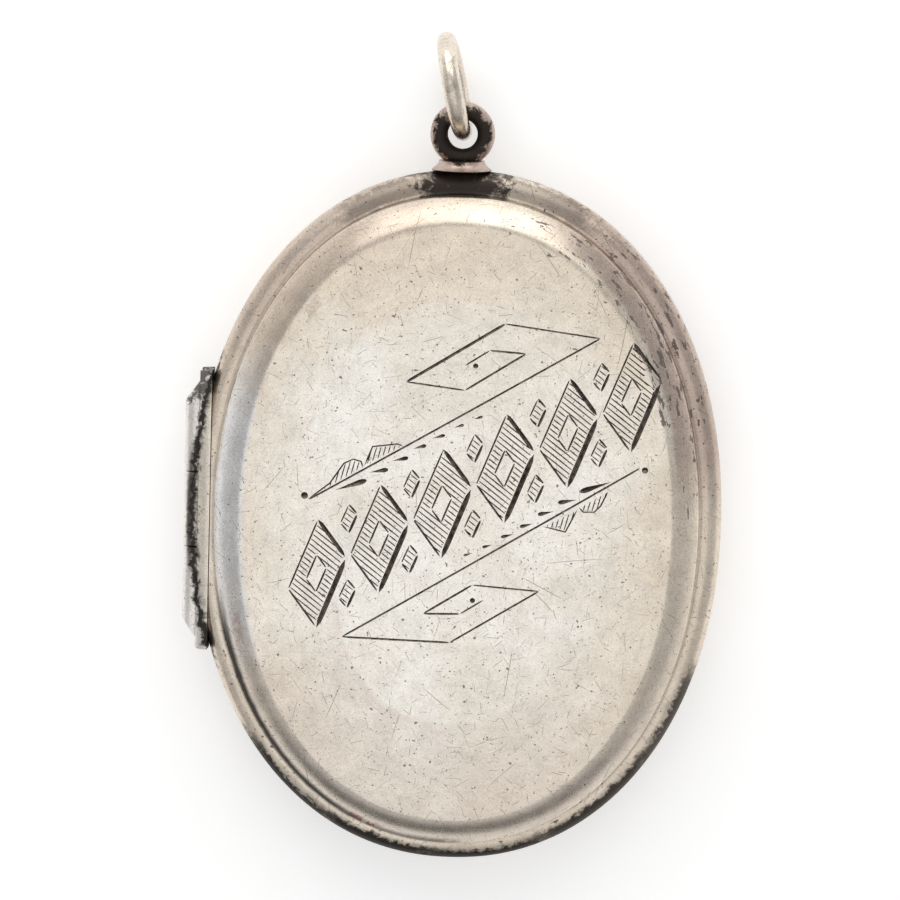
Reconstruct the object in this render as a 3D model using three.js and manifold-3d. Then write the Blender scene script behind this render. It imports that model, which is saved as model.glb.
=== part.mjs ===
// An oval hinged locket in silver, shut and lying on its back.
//
// Millimetres, +Z up out of the front cover, +Y toward the loop that it hangs from, hinge on the -X side.
// The origin is the middle of the flat back face. The two halves meet at the seam, HALF_DEPTH above it.
//
// Most pieces follow the same oval, so their cross-sections are drawn once, as points of [inset, rise]:
// inset is the distance in from the outer edge of the oval, rise is the distance away from the seam.

import * as THREE from 'three';
import { mergeVertices } from 'three/addons/utils/BufferGeometryUtils.js';
import Module from 'manifold-3d';

// ---- driving dimensions: the case ----
const HALF_WIDTH = 15.15; // of the oval, along X
const HALF_HEIGHT = 20.0; // of the oval, along Y
const OVAL_POWER = 2.12; // 2 is an ellipse, more is squarer
const HALF_DEPTH = 3.5; // one half of the case, seam to face
const SHEET = 0.45; // wall of the covers
const BEAD_RADIUS = 0.95; // the half-round rims
const RIM_LAND = 0.3; // the rims, from the top of the bead to the inner wall
const GROOVE_RISE = 0.75; // where cover and rim meet
const PILLOW_WIDTH = 1.65; // the curved shoulder of a cover, seen from above
const FRONT_CROWN = 0.28; // how far the front face bulges

// ---- driving dimensions: gaps between pieces ----
const SEAM_GAP = 0.03; // each half stops this far from the seam
const SEAT = 0.05; // between pieces that are soldered or pressed together

// ---- driving dimensions: inside the case ----
const LIP_THICKNESS = 0.25; // the band that the front half snaps over
const LIP_ABOVE = 0.6; // how far it reaches into the front half
const LIP_BELOW = 1.1; // how far it reaches down into the back half
const FRAME_WALL = 0.25; // the frames that hold the photographs
const FRAME_DEPTH = 1.15;
const FRAME_FLANGE = 1.5;
const FRAME_FLANGE_THICKNESS = 0.25;
const WINDOW_THICKNESS = 0.15;
const PHOTO_THICKNESS = 0.2;
const BACKING_THICKNESS = 0.3;

// ---- driving dimensions: the hinge ----
const BARREL_RADIUS = 0.65;
const AXIS_INSET = 0.05; // hinge axis, in from the edge of the oval
const BARREL_HALF_LENGTH = 8.1;
const BARREL_END_ANGLE = 36; // degrees between the slanted ends and the axis
const MIDDLE_KNUCKLE_HALF = 2.15;
const KNUCKLE_GAP = 0.06; // between the ends of two knuckles
const GROOVE_CLEARANCE = 0.05; // round the barrel, in rims and leaves
const PIN_RADIUS = 0.3;
const PIN_CLEARANCE = 0.03;
const PIN_RECESS = 0.45; // pin end to the middle of the slanted barrel end

// ---- driving dimensions: collar, loop and jump ring ----
const BAIL_X = -0.3; // the loop is soldered a touch to one side
const LOOP_WIRE = 0.52; // wire radius
const LOOP_CLEARANCE = 0.255; // round the ring's wire, in the hole of the loop
const LOOP_LIFT = 0.2; // bottom of the loop to the rim
const COLLAR_BASE_RADIUS = 1.7;
const COLLAR_NECK_RADIUS = 1.3;
const COLLAR_HEIGHT = 0.5;
const COLLAR_WRAP = 0.75; // how far the collar reaches down round the back rim
const RING_RADIUS = 2.605; // middle of the wire
const RING_WIRE = 0.565; // wire radius
const RING_YAW = 12; // degrees, ring leaning toward the hinge side
const RING_STOP = 55; // degrees that the ring swings each way from level
const RING_TABLE_GAP = 0.04; // under the ring, which hangs down to the table
const RING_REACH = 0.15; // the ring pulls this far off the middle of the loop
const RING_PIVOT_OUT = 1.8; // from the wire in the loop to the axis that it swings on

// ---- how finely round things are divided ----
const OVAL_STEPS = 48;
const BEAD_STEPS = 5;
const PILLOW_STEPS = 6;
const WIRE_STEPS = 12;
const LOOP_STEPS = 24;
const RING_STEPS = 36;
const BARREL_STEPS = 24;

// ---- worked out from the above ----
const SEAM_Z = HALF_DEPTH;
const RIM_WIDTH = BEAD_RADIUS + RIM_LAND;
const SKIRT_INSET = RIM_WIDTH + SEAT;
const PILLOW_INSET = SKIRT_INSET + PILLOW_WIDTH;
const LIP_INSET = SKIRT_INSET + SHEET + SEAT;
const FRAME_SETBACK = LIP_ABOVE + SEAT; // deeper than the lip reaches, so that the halves swing apart freely
const FRAME_INSET = Math.max(LIP_INSET + LIP_THICKNESS, coverWallInset(FRAME_SETBACK + FRAME_DEPTH)) + SEAT;
const AXIS_X = -(HALF_WIDTH - AXIS_INSET);
const GROOVE_RADIUS = BARREL_RADIUS + GROOVE_CLEARANCE;
const LEAF_X = -(HALF_WIDTH - BEAD_RADIUS) + SEAT; // flat side of a leaf, against its rim
const BARREL_END = BARREL_HALF_LENGTH - BARREL_RADIUS / Math.tan(THREE.MathUtils.degToRad(BARREL_END_ANGLE));
const LOOP_RADIUS = LOOP_WIRE + RING_WIRE + LOOP_CLEARANCE; // middle of the wire
const LOOP_Y = HALF_HEIGHT + LOOP_LIFT + LOOP_RADIUS + LOOP_WIRE;
const RING_ARM = RING_RADIUS - RING_PIVOT_OUT; // from its swing axis to its middle
const FRONT = 1;
const BACK = -1;

const COLOURS = {
  silver: { color: 0xcfc5b8, roughness: 0.32, metalness: 1 },
  inside: { color: 0xd8cfbf, roughness: 0.25, metalness: 1 },
  tarnished: { color: 0x5d554d, roughness: 0.45, metalness: 1 },
  window: { color: 0xe8e4d8, roughness: 0.05, metalness: 0 },
  photo: { color: 0xb7a283, roughness: 0.6, metalness: 0 },
  backing: { color: 0x8c7a5e, roughness: 0.85, metalness: 0 },
};

// How far in the inner wall of a cover is, at a rise above its groove.
function coverWallInset(rise) {
  const part = (rise - GROOVE_RISE) / (HALF_DEPTH - FRONT_CROWN - SHEET - GROOVE_RISE);
  return PILLOW_INSET - (PILLOW_WIDTH - SHEET) * Math.sqrt(1 - part * part);
}

const wasm = await Module();
wasm.setup();

// ---- solids ----

function toSolid(geometry) {
  const bare = geometry.index ? geometry.toNonIndexed() : geometry.clone();
  bare.deleteAttribute('normal');
  bare.deleteAttribute('uv');
  const merged = mergeVertices(bare, 1e-4);
  return new wasm.Manifold(
    new wasm.Mesh({
      numProp: 3,
      vertProperties: Float32Array.from(merged.attributes.position.array),
      triVerts: Uint32Array.from(merged.index.array),
    }),
  );
}

function toGeometry(solid) {
  const mesh = solid.getMesh();
  const geometry = new THREE.BufferGeometry();
  geometry.setAttribute('position', new THREE.BufferAttribute(mesh.vertProperties, 3));
  geometry.setIndex(new THREE.BufferAttribute(mesh.triVerts, 1));
  geometry.computeVertexNormals();
  return geometry;
}

function boxSolid(from, to) {
  const box = new THREE.Box3(new THREE.Vector3(...from), new THREE.Vector3(...to));
  const size = box.getSize(new THREE.Vector3());
  const middle = box.getCenter(new THREE.Vector3());
  return toSolid(new THREE.BoxGeometry(size.x, size.y, size.z).translate(middle.x, middle.y, middle.z));
}

// A cylinder along Y on the hinge axis.
function hingeCylinder(radius, from, to) {
  const geometry = new THREE.CylinderGeometry(radius, radius, to - from, BARREL_STEPS);
  return toSolid(geometry.translate(AXIS_X, (from + to) / 2, SEAM_Z));
}

function torusGeometry(radius, wire, steps) {
  const section = [];
  for (let i = 0; i <= WIRE_STEPS; i++) {
    const turn = (i / WIRE_STEPS) * Math.PI * 2;
    section.push(new THREE.Vector2(radius + wire * Math.cos(turn), wire * Math.sin(turn)));
  }
  return new THREE.LatheGeometry(section, steps).rotateX(Math.PI / 2);
}

// ---- oval pieces ----

const ovalCoordinate = (part) => Math.sign(part) * Math.abs(part) ** (2 / OVAL_POWER);

function signedArea(points) {
  return points.reduce((sum, [x, y], i) => {
    const [nextX, nextY] = points[(i + 1) % points.length];
    return sum + (x * nextY - nextX * y) / 2;
  }, 0);
}

// Sweeps a cross-section of [inset, rise] points round the oval. A section that starts and ends at the
// inset HALF_WIDTH is solid across: its middle is a short ridge along Y, as long as the oval needs.
function ovalGeometry(section, side) {
  const drawn = section.map(([inset, rise]) => [HALF_WIDTH - inset, SEAM_Z + side * rise]);
  if (signedArea(drawn) < 0) drawn.reverse();
  const solidAcross = section[0][0] === HALF_WIDTH;
  const closed = solidAcross ? drawn : [...drawn, drawn[0]];
  const points = closed.map(([radius, z]) => new THREE.Vector2(radius, z));
  const geometry = new THREE.LatheGeometry(points, OVAL_STEPS).rotateX(Math.PI / 2);
  const position = geometry.attributes.position;
  for (let i = 0; i < position.count; i++) {
    const step = Math.floor(i / points.length) % OVAL_STEPS;
    const turn = (step / OVAL_STEPS) * Math.PI * 2 - Math.PI / 2;
    const radius = points[i % points.length].x;
    const x = radius * ovalCoordinate(Math.cos(turn));
    const y = (radius + HALF_HEIGHT - HALF_WIDTH) * ovalCoordinate(Math.sin(turn));
    position.setXYZ(i, x, y, points[i % points.length].y);
  }
  return geometry;
}

const ovalSolid = (section, side) => toSolid(ovalGeometry(section, side));

// The points of a quarter of an ellipse, from straight away from the seam to level.
function quarter(centreInset, centreRise, width, height, steps) {
  const points = [];
  for (let i = 0; i <= steps; i++) {
    const turn = (i / steps) * (Math.PI / 2);
    points.push([centreInset - width * Math.cos(turn), centreRise + height * Math.sin(turn)]);
  }
  return points;
}

function beadSection(growth) {
  const radius = BEAD_RADIUS + growth;
  return quarter(BEAD_RADIUS, SEAM_GAP, radius, radius, BEAD_STEPS);
}

function rimSolid(side) {
  const section = [
    ...beadSection(0),
    [RIM_WIDTH, GROOVE_RISE + SEAM_GAP],
    [RIM_WIDTH, SEAM_GAP],
  ];
  return ovalSolid(section, side).subtract(leafSlot()).subtract(barrelGroove());
}

// A cover is a skirt inside the rim, a pillowed shoulder, and a face with the crown given.
function coverSolid(side, crown) {
  const faceRise = HALF_DEPTH - crown - GROOVE_RISE;
  const outside = quarter(PILLOW_INSET, GROOVE_RISE, PILLOW_WIDTH, faceRise, PILLOW_STEPS);
  const inside = quarter(PILLOW_INSET, GROOVE_RISE, PILLOW_WIDTH - SHEET, faceRise - SHEET, PILLOW_STEPS);
  const section = [
    [HALF_WIDTH, HALF_DEPTH - SHEET],
    ...crownPoints(PILLOW_INSET, HALF_DEPTH - SHEET, crown),
    ...inside.reverse(),
    [SKIRT_INSET + SHEET, SEAM_GAP],
    [SKIRT_INSET, SEAM_GAP],
    ...outside,
    ...crownPoints(PILLOW_INSET, HALF_DEPTH, crown).reverse(),
    [HALF_WIDTH, HALF_DEPTH],
  ];
  return ovalSolid(section, side);
}

// Points between the middle of a face and its edge, where it falls away by the crown. A flat face has none.
function crownPoints(edgeInset, topRise, crown) {
  if (crown === 0) return [];
  return [0.35, 0.7].map((part) => {
    const inset = HALF_WIDTH - part * (HALF_WIDTH - edgeInset);
    return [inset, topRise - crown * part * part];
  });
}

function lipSolid() {
  const outer = LIP_INSET;
  const inner = LIP_INSET + LIP_THICKNESS;
  const lead = LIP_THICKNESS / 2; // tapered edge that guides the front half on
  return ovalSolid([[outer, -LIP_BELOW], [inner, -LIP_BELOW], [inner, LIP_ABOVE], [outer + lead, LIP_ABOVE],
    [outer, LIP_ABOVE - lead]], FRONT);
}

function frameSolid(side) {
  const inner = FRAME_INSET + FRAME_WALL;
  const flangeBack = FRAME_SETBACK + FRAME_FLANGE_THICKNESS;
  const flangeEdge = FRAME_INSET + FRAME_FLANGE;
  const half = FRAME_FLANGE_THICKNESS / 2;
  return ovalSolid([
    [FRAME_INSET, FRAME_SETBACK],
    [flangeEdge - half, FRAME_SETBACK],
    [flangeEdge, FRAME_SETBACK + half],
    [flangeEdge - half, flangeBack],
    [inner, flangeBack],
    [inner, FRAME_SETBACK + FRAME_DEPTH],
    [FRAME_INSET, FRAME_SETBACK + FRAME_DEPTH],
  ], side);
}

// The window, photograph and backing lie behind the flange of a frame, one behind the other.
const WINDOW_RISE = FRAME_SETBACK + FRAME_FLANGE_THICKNESS + SEAT;
const PHOTO_RISE = WINDOW_RISE + WINDOW_THICKNESS + SEAT;
const BACKING_RISE = PHOTO_RISE + PHOTO_THICKNESS + SEAT;

function cardSolid(side, rise, thickness) {
  const edge = FRAME_INSET + FRAME_WALL + SEAT;
  return ovalSolid([[HALF_WIDTH, rise], [edge, rise], [edge, rise + thickness], [HALF_WIDTH, rise + thickness]], side);
}

// ---- hinge ----

// Everything beyond the slanted end of the barrel, toward +Y for end 1 and toward -Y for end -1.
function slantedEnd(end) {
  const size = HALF_WIDTH;
  const cutter = new THREE.BoxGeometry(size, size, size).translate(0, size / 2, 0);
  cutter.rotateZ(THREE.MathUtils.degToRad(90 - BARREL_END_ANGLE));
  cutter.translate(AXIS_X, BARREL_END, SEAM_Z);
  return end > 0 ? toSolid(cutter) : toSolid(cutter.rotateX(Math.PI).translate(0, 0, 2 * SEAM_Z));
}

function knuckle(from, to) {
  const bore = hingeCylinder(PIN_RADIUS + PIN_CLEARANCE, from - 1, to + 1);
  return hingeCylinder(BARREL_RADIUS, from, to).subtract(bore);
}

function outerKnuckle(end) {
  const near = MIDDLE_KNUCKLE_HALF + KNUCKLE_GAP;
  const tube = end > 0 ? knuckle(near, BARREL_HALF_LENGTH) : knuckle(-BARREL_HALF_LENGTH, -near);
  return tube.subtract(slantedEnd(end));
}

const barrelGroove = () => hingeCylinder(GROOVE_RADIUS, -HALF_HEIGHT, HALF_HEIGHT);

// A straight bar with the same rounded edge as the rim, grooved for the barrel.
function leafSolid(side) {
  const shape = new THREE.Shape();
  const bead = beadSection(0).map(([inset, rise]) => [-HALF_WIDTH + inset, rise]);
  const outline = [...bead, [LEAF_X - SEAT, SEAM_GAP]];
  outline.forEach(([x, rise], i) => (i ? shape.lineTo(x, rise) : shape.moveTo(x, rise)));
  const bar = new THREE.ExtrudeGeometry(shape, { depth: 2 * BARREL_HALF_LENGTH, bevelEnabled: false });
  bar.rotateX(Math.PI / 2).translate(0, BARREL_HALF_LENGTH, 0);
  if (side === BACK) bar.rotateX(Math.PI);
  return toSolid(bar.translate(0, 0, SEAM_Z)).subtract(barrelGroove());
}

// The slot that a leaf fills, cut out of its rim.
function leafSlot() {
  const end = BARREL_HALF_LENGTH + SEAT;
  return boxSolid([-HALF_WIDTH - 1, -end, 0], [LEAF_X, end, 2 * HALF_DEPTH]);
}

// ---- collar, loop and ring ----

const loopGeometry = (growth) => torusGeometry(LOOP_RADIUS, LOOP_WIRE + growth, LOOP_STEPS)
  .translate(BAIL_X, LOOP_Y, SEAM_Z);

// A flared foot under the loop, shaped to the back rim and kept clear of the front half.
function collarSolid() {
  const base = HALF_HEIGHT - COLLAR_WRAP;
  const top = HALF_HEIGHT + SEAT + COLLAR_HEIGHT;
  const flare = [0, 0.25, 0.5, 0.75, 1].map((part) => {
    const radius = COLLAR_NECK_RADIUS + (COLLAR_BASE_RADIUS - COLLAR_NECK_RADIUS) * (1 - part) ** 2;
    return new THREE.Vector2(radius, HALF_HEIGHT + SEAT + part * COLLAR_HEIGHT);
  });
  const section = [
    new THREE.Vector2(0, base),
    new THREE.Vector2(COLLAR_BASE_RADIUS, base),
    ...flare,
    new THREE.Vector2(0, top),
  ];
  const turned = new THREE.LatheGeometry(section, LOOP_STEPS).translate(BAIL_X, 0, SEAM_Z);
  const overFront = boxSolid([-HALF_WIDTH, 0, SEAM_Z], [HALF_WIDTH, HALF_HEIGHT + SEAT, 4 * HALF_DEPTH]);
  const rimSpace = ovalSolid([
    [HALF_WIDTH, -SEAM_GAP],
    [-SEAT, -SEAM_GAP],
    ...beadSection(SEAT),
    [HALF_WIDTH, BEAD_RADIUS + SEAM_GAP + SEAT],
  ], BACK);
  return toSolid(turned).subtract(overFront).subtract(rimSpace).subtract(toSolid(loopGeometry(SEAT)));
}

function ringGeometry() {
  const yaw = THREE.MathUtils.degToRad(RING_YAW);
  const lowest = Math.sin(THREE.MathUtils.degToRad(RING_STOP));
  const spare = SEAM_Z - RING_TABLE_GAP - RING_RADIUS - RING_WIRE;
  const droop = Math.asin(Math.min(spare / RING_ARM, lowest));
  const out = new THREE.Vector3(-Math.sin(yaw), Math.cos(yaw), 0);
  const wireInLoop = new THREE.Vector3(BAIL_X, LOOP_Y + RING_REACH, SEAM_Z);
  const centre = wireInLoop.addScaledVector(out, RING_PIVOT_OUT + RING_ARM * Math.cos(droop));
  centre.z -= RING_ARM * Math.sin(droop);
  return torusGeometry(RING_RADIUS, RING_WIRE, RING_STEPS)
    .rotateY(Math.PI / 2)
    .rotateZ(yaw)
    .translate(centre.x, centre.y, centre.z);
}

// ---- the locket ----

const locket = new THREE.Group();

function add(name, shape, look) {
  const geometry = shape.isBufferGeometry ? shape : toGeometry(shape);
  const mesh = new THREE.Mesh(geometry, new THREE.MeshStandardMaterial(COLOURS[look]));
  mesh.name = name;
  locket.add(mesh);
}

for (const [half, side, crown] of [['back', BACK, 0], ['front', FRONT, FRONT_CROWN]]) {
  add(`${half}_cover`, coverSolid(side, crown), 'silver');
  add(`${half}_rim`, rimSolid(side), 'silver');
  add(`${half}_hinge_leaf`, leafSolid(side), 'tarnished');
  add(`${half}_photo_frame`, frameSolid(side), 'inside');
  add(`${half}_window`, cardSolid(side, WINDOW_RISE, WINDOW_THICKNESS), 'window');
  add(`${half}_photo_card`, cardSolid(side, PHOTO_RISE, PHOTO_THICKNESS), 'photo');
  add(`${half}_backing_card`, cardSolid(side, BACKING_RISE, BACKING_THICKNESS), 'backing');
}

add('snap_lip', lipSolid(), 'inside');
add('upper_knuckle', outerKnuckle(1), 'tarnished');
add('middle_knuckle', knuckle(-MIDDLE_KNUCKLE_HALF, MIDDLE_KNUCKLE_HALF), 'tarnished');
add('lower_knuckle', outerKnuckle(-1), 'tarnished');
add('hinge_pin', hingeCylinder(PIN_RADIUS, -BARREL_END + PIN_RECESS, BARREL_END - PIN_RECESS), 'tarnished');
add('bail_collar', collarSolid(), 'tarnished');
add('bail_loop', loopGeometry(0), 'silver');
add('jump_ring', ringGeometry(), 'silver');

export default locket;
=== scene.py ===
# %% [markdown]
# # An oval portrait locket in worn silver
# A locket is two shallow silver shells on a hinge. Each shell has a half-round rim, and inside it
# a thin frame holds a window, a portrait card and a backing card. The front is engraved by hand.
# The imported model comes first: it fixes every size and every joint, and all that follows only
# gives its pieces a finer shape and a real finish.

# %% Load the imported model
import math

import bmesh
import bpy
from mathutils import Matrix, Vector, noise


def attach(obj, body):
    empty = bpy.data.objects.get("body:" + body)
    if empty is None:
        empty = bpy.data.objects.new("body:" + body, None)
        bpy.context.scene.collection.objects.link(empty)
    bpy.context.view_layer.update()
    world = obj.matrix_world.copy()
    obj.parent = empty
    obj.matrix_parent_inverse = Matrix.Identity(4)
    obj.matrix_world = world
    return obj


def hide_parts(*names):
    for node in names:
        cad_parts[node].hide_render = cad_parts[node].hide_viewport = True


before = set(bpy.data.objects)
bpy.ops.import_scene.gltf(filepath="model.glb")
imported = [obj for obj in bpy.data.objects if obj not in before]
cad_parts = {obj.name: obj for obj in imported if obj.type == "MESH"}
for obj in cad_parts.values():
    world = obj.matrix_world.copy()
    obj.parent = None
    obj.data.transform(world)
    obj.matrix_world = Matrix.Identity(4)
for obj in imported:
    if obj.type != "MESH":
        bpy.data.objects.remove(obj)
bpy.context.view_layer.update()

# %% [markdown]
# ## The sizes
# A jeweller thinks in millimetres, so every piece is drawn in millimetres and brought to metres
# at the end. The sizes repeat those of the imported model. A cross-section is a list of points
# (inset, rise): inset is the way in from the edge of the oval, rise is the way up from the seam.

# %% Sizes in millimetres
HALF_WIDTH, HALF_HEIGHT, OVAL_POWER, HALF_DEPTH = 15.15, 20.0, 2.12, 3.5
SHEET, SEAM_GAP, SEAT = 0.45, 0.03, 0.05
BEAD_RADIUS, GROOVE_RISE = 0.95, 0.75
SKIRT_INSET, PILLOW_WIDTH, FRONT_CROWN = 1.30, 1.65, 0.28
SLOPE_DROP, SLOPE_POWER, CORNER = 0.98, 1.65, 0.25
PILLOW_INSET = SKIRT_INSET + PILLOW_WIDTH
LIP_INSET, LIP_THICKNESS, LIP_ABOVE, LIP_BELOW = 1.80, 0.25, 0.6, 1.1
FRAME_INSET, FRAME_WALL, FRAME_SETBACK, FRAME_DEPTH = 2.10, 0.25, 0.65, 1.15
FRAME_FLANGE, FLANGE_THICKNESS = 1.5, 0.25
CARD_INSET = FRAME_INSET + FRAME_WALL + SEAT
WINDOW_STACK = {"window": (0.95, 0.15), "photo_card": (1.15, 0.2), "backing_card": (1.40, 0.3)}
AXIS_X, BARREL_RADIUS, GROOVE_RADIUS = -15.10, 0.65, 0.70
BARREL_HALF, BARREL_END, KNUCKLE_HALF, KNUCKLE_GAP = 8.1, 7.205, 2.15, 0.06
BARREL_SLANT = 1 / math.tan(math.radians(36))
PIN_RADIUS, BORE_RADIUS, PIN_END = 0.30, 0.33, 6.755
LEAF_X = -14.15
BAIL_X, LOOP_Y, LOOP_RADIUS, LOOP_WIRE = -0.3, 22.06, 1.34, 0.52
COLLAR_WRAP, COLLAR_HEIGHT, COLLAR_BASE, COLLAR_NECK = 0.75, 0.5, 1.7, 1.3
RING_RADIUS, RING_WIRE, RING_YAW, RING_DROOP = 2.605, 0.552, 12.0, 0.29
RING_AWAY = 0.15, 1.8 + math.sqrt(0.805**2 - RING_DROOP**2)
SEAM_Z, FRONT, BACK = HALF_DEPTH, 1, -1
OVAL_STEPS = 240
print("case", 2 * HALF_WIDTH, "x", 2 * HALF_HEIGHT, "x", 2 * HALF_DEPTH, "mm")

# %% [markdown]
# ## Short words for node trees
# Both the shapes and the finishes are built as node trees. This little class adds a node, sets
# what it should, and plugs in its inputs, so that a tree reads almost like a sum.

# %% A tree builder
class Tree:
    def __init__(self, tree):
        self.tree, self.nodes, self.links = tree, tree.nodes, tree.links

    def feed(self, socket, value):
        if isinstance(value, bpy.types.NodeSocket):
            self.links.new(value, socket)
        else:
            socket.default_value = value

    def put(self, kind, feeds=None, **settings):
        node = self.nodes.new(kind)
        for name, value in settings.items():
            setattr(node, name, value)
        for key, value in (feeds or {}).items():
            self.feed(node.inputs[key], value)
        return node

    def math(self, operation, *values, clamp=False):
        node = self.put("ShaderNodeMath", operation=operation, use_clamp=clamp)
        for socket, value in zip(node.inputs, values):
            self.feed(socket, value)
        return node.outputs[0]

    def vector(self, operation, *values):
        node = self.put("ShaderNodeVectorMath", operation=operation)
        for socket, value in zip(node.inputs, values):
            self.feed(socket, value)
        return node.outputs["Value" if operation in ("DOT_PRODUCT", "LENGTH", "DISTANCE") else 0]

    def between(self, value, low, high, out_low=0.0, out_high=1.0):
        """A soft step: out_low below low, out_high above high. Low may be the higher number."""
        feeds = {"Value": value, "From Min": low, "From Max": high, "To Min": out_low, "To Max": out_high}
        return self.put("ShaderNodeMapRange", feeds, interpolation_type="SMOOTHSTEP").outputs[0]

    def separate(self, vector):
        return self.put("ShaderNodeSeparateXYZ", {0: vector}).outputs

    def combine(self, x, y, z):
        return self.put("ShaderNodeCombineXYZ", {0: x, 1: y, 2: z}).outputs[0]


def node_group(name, kind, inputs, outputs):
    """A new node group with these named sockets, given as (name, type, default)."""
    group = bpy.data.node_groups.new(name, kind)
    for socket_name, socket_kind, default in inputs:
        socket = group.interface.new_socket(socket_name, in_out="INPUT", socket_type=socket_kind)
        if default is not None:
            socket.default_value = default
    for socket_name, socket_kind in outputs:
        group.interface.new_socket(socket_name, in_out="OUTPUT", socket_type=socket_kind)
    tree = Tree(group)
    return tree, tree.put("NodeGroupInput").outputs, tree.put("NodeGroupOutput").inputs


print("tree builder ready")

# %% [markdown]
# ## Hairlines
# Years of wear leave hundreds of fine scratches that run every way. A stretched noise would lay
# them all in one direction, so this group asks a Voronoi pattern for random cells, and draws one
# short, slightly bent line in each cell, with its own direction, length and depth.

# %% Node group: hairlines
hair, given, result = node_group(
    "hairlines", "ShaderNodeTree",
    [("Place", "NodeSocketVector", None), ("Cell", "NodeSocketFloat", 4.0),
     ("Width", "NodeSocketFloat", 0.04), ("Share", "NodeSocketFloat", 0.6),
     ("Shift", "NodeSocketFloat", 0.0)],
    [("Depth", "NodeSocketFloat")])
x, y, z = hair.separate(given["Place"])
flat = hair.combine(hair.math("ADD", x, given["Shift"]),
                    hair.math("MULTIPLY_ADD", given["Shift"], 1.7, y), 0.0)
place = hair.vector("DIVIDE", flat, hair.combine(given["Cell"], given["Cell"], 1.0))
cells = hair.put("ShaderNodeTexVoronoi", {"Vector": place, "Scale": 1.0, "Randomness": 1.0},
                 voronoi_dimensions="2D", feature="F1")
dice = hair.put("ShaderNodeSeparateColor", {0: cells.outputs["Color"]}).outputs
away = hair.separate(hair.vector("SUBTRACT", place, cells.outputs["Position"]))
turn = hair.math("MULTIPLY", dice[0], math.pi)
cosine, sine = hair.math("COSINE", turn), hair.math("SINE", turn)
along = hair.math("ADD", hair.math("MULTIPLY", away[0], cosine), hair.math("MULTIPLY", away[1], sine))
across = hair.math("SUBTRACT", hair.math("MULTIPLY", away[1], cosine), hair.math("MULTIPLY", away[0], sine))
bend = hair.math("MULTIPLY", hair.math("SUBTRACT", dice[2], 0.5), 0.35)
across = hair.math("MULTIPLY_ADD", bend, hair.math("MULTIPLY", along, along), across)
across = hair.math("MULTIPLY", hair.math("ABSOLUTE", across), given["Cell"])
reach = hair.math("MULTIPLY_ADD", dice[1], 0.36, 0.10)
ends = hair.between(hair.math("DIVIDE", hair.math("ABSOLUTE", along), reach), 1.0, 0.5)
lane = hair.between(hair.math("DIVIDE", across, given["Width"]), 1.0, 0.15)
kept = hair.math("LESS_THAN", hair.math("FRACT", hair.math("MULTIPLY", dice[2], 13.7)), given["Share"])
strength = hair.math("MULTIPLY_ADD", hair.math("FRACT", hair.math("MULTIPLY", dice[1], 7.3)), 0.7, 0.3)
drawn = hair.math("MULTIPLY", ends, lane)
hair.feed(result[0], hair.math("MULTIPLY", drawn, hair.math("MULTIPLY", kept, strength)))
print("hairlines:", len(hair.nodes), "nodes")

# %% [markdown]
# ## Where on the oval
# Wear follows the shape: the rim's crest is rubbed clean, a painted line of shade lies in the
# corner at the foot of the dome, and streaks run along the edge. So this group works out, for any
# point, how far in from the edge of the oval it is, which way it lies from the middle, and a
# stretched place in which noise turns into streaks that follow the edge.

# %% Node group: round the oval
ring_way, given, result = node_group(
    "round the oval", "ShaderNodeTree", [("Place", "NodeSocketVector", None)],
    [("Inset", "NodeSocketFloat"), ("Way", "NodeSocketVector"), ("Streaks", "NodeSocketVector")])
x, y, z = ring_way.separate(given["Place"])
sideways, lengthways = [
    ring_way.math("POWER", ring_way.math("ABSOLUTE", ring_way.math("DIVIDE", value, half)), OVAL_POWER)
    for value, half in ((x, HALF_WIDTH), (y, HALF_HEIGHT))]
level = ring_way.math("ADD", sideways, lengthways)
level = ring_way.math("MAXIMUM", ring_way.math("POWER", level, 1 / OVAL_POWER), 0.01)
level_way = ring_way.combine(x, y, 0.0)
reach = ring_way.vector("LENGTH", level_way)
inset = ring_way.math("SUBTRACT", ring_way.math("DIVIDE", reach, level), reach)
ring_way.feed(result["Inset"], inset)
ring_way.feed(result["Way"], ring_way.vector("NORMALIZE", level_way))
ring_way.feed(result["Streaks"], ring_way.combine(
    ring_way.math("MULTIPLY", ring_way.math("ADD", inset, z), 2.9), x, y))
print("round the oval:", len(ring_way.nodes), "nodes")

# %% [markdown]
# ## Worn silver
# All the metal is one alloy, so all its finishes come from one recipe with different amounts:
# a clean warm colour that drifts to an aged one, hairlines, small dark specks, pits where the
# surface was eaten, and black: tarnish in the places that fingers never polish, and painted
# shade in gaps, under the loop and at the foot of the dome. A zone says where black or pits
# belong: a direction and spread in degrees, from one inset to another, and how strong. Noise
# gives every zone a ragged edge.

# %% Finish helpers
def new_material(name):
    material = bpy.data.materials.new(name)
    material.use_nodes = True
    material.node_tree.nodes.clear()
    tree = Tree(material.node_tree)
    shader = tree.put("ShaderNodeBsdfPrincipled")
    tree.put("ShaderNodeOutputMaterial", {"Surface": shader.outputs[0]})
    where = tree.put("ShaderNodeTexCoord").outputs["Object"]
    mm = tree.put("ShaderNodeMapping", {"Vector": where, "Scale": (1000, 1000, 1000)}).outputs[0]
    return material, tree, shader, mm


def noise_at(tree, place, scale, detail=2.0, roughness=0.5, warp=0.0):
    feeds = {"Vector": place, "Scale": scale, "Detail": detail, "Roughness": roughness, "Distortion": warp}
    return tree.put("ShaderNodeTexNoise", feeds).outputs["Fac"]


def blend_colour(tree, factor, first, second, mode="MIX"):
    node = tree.put("ShaderNodeMix", data_type="RGBA", blend_type=mode)
    for key, value in ((0, factor), (6, first), (7, second)):
        tree.feed(node.inputs[key], value)
    return node.outputs[2]


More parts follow.
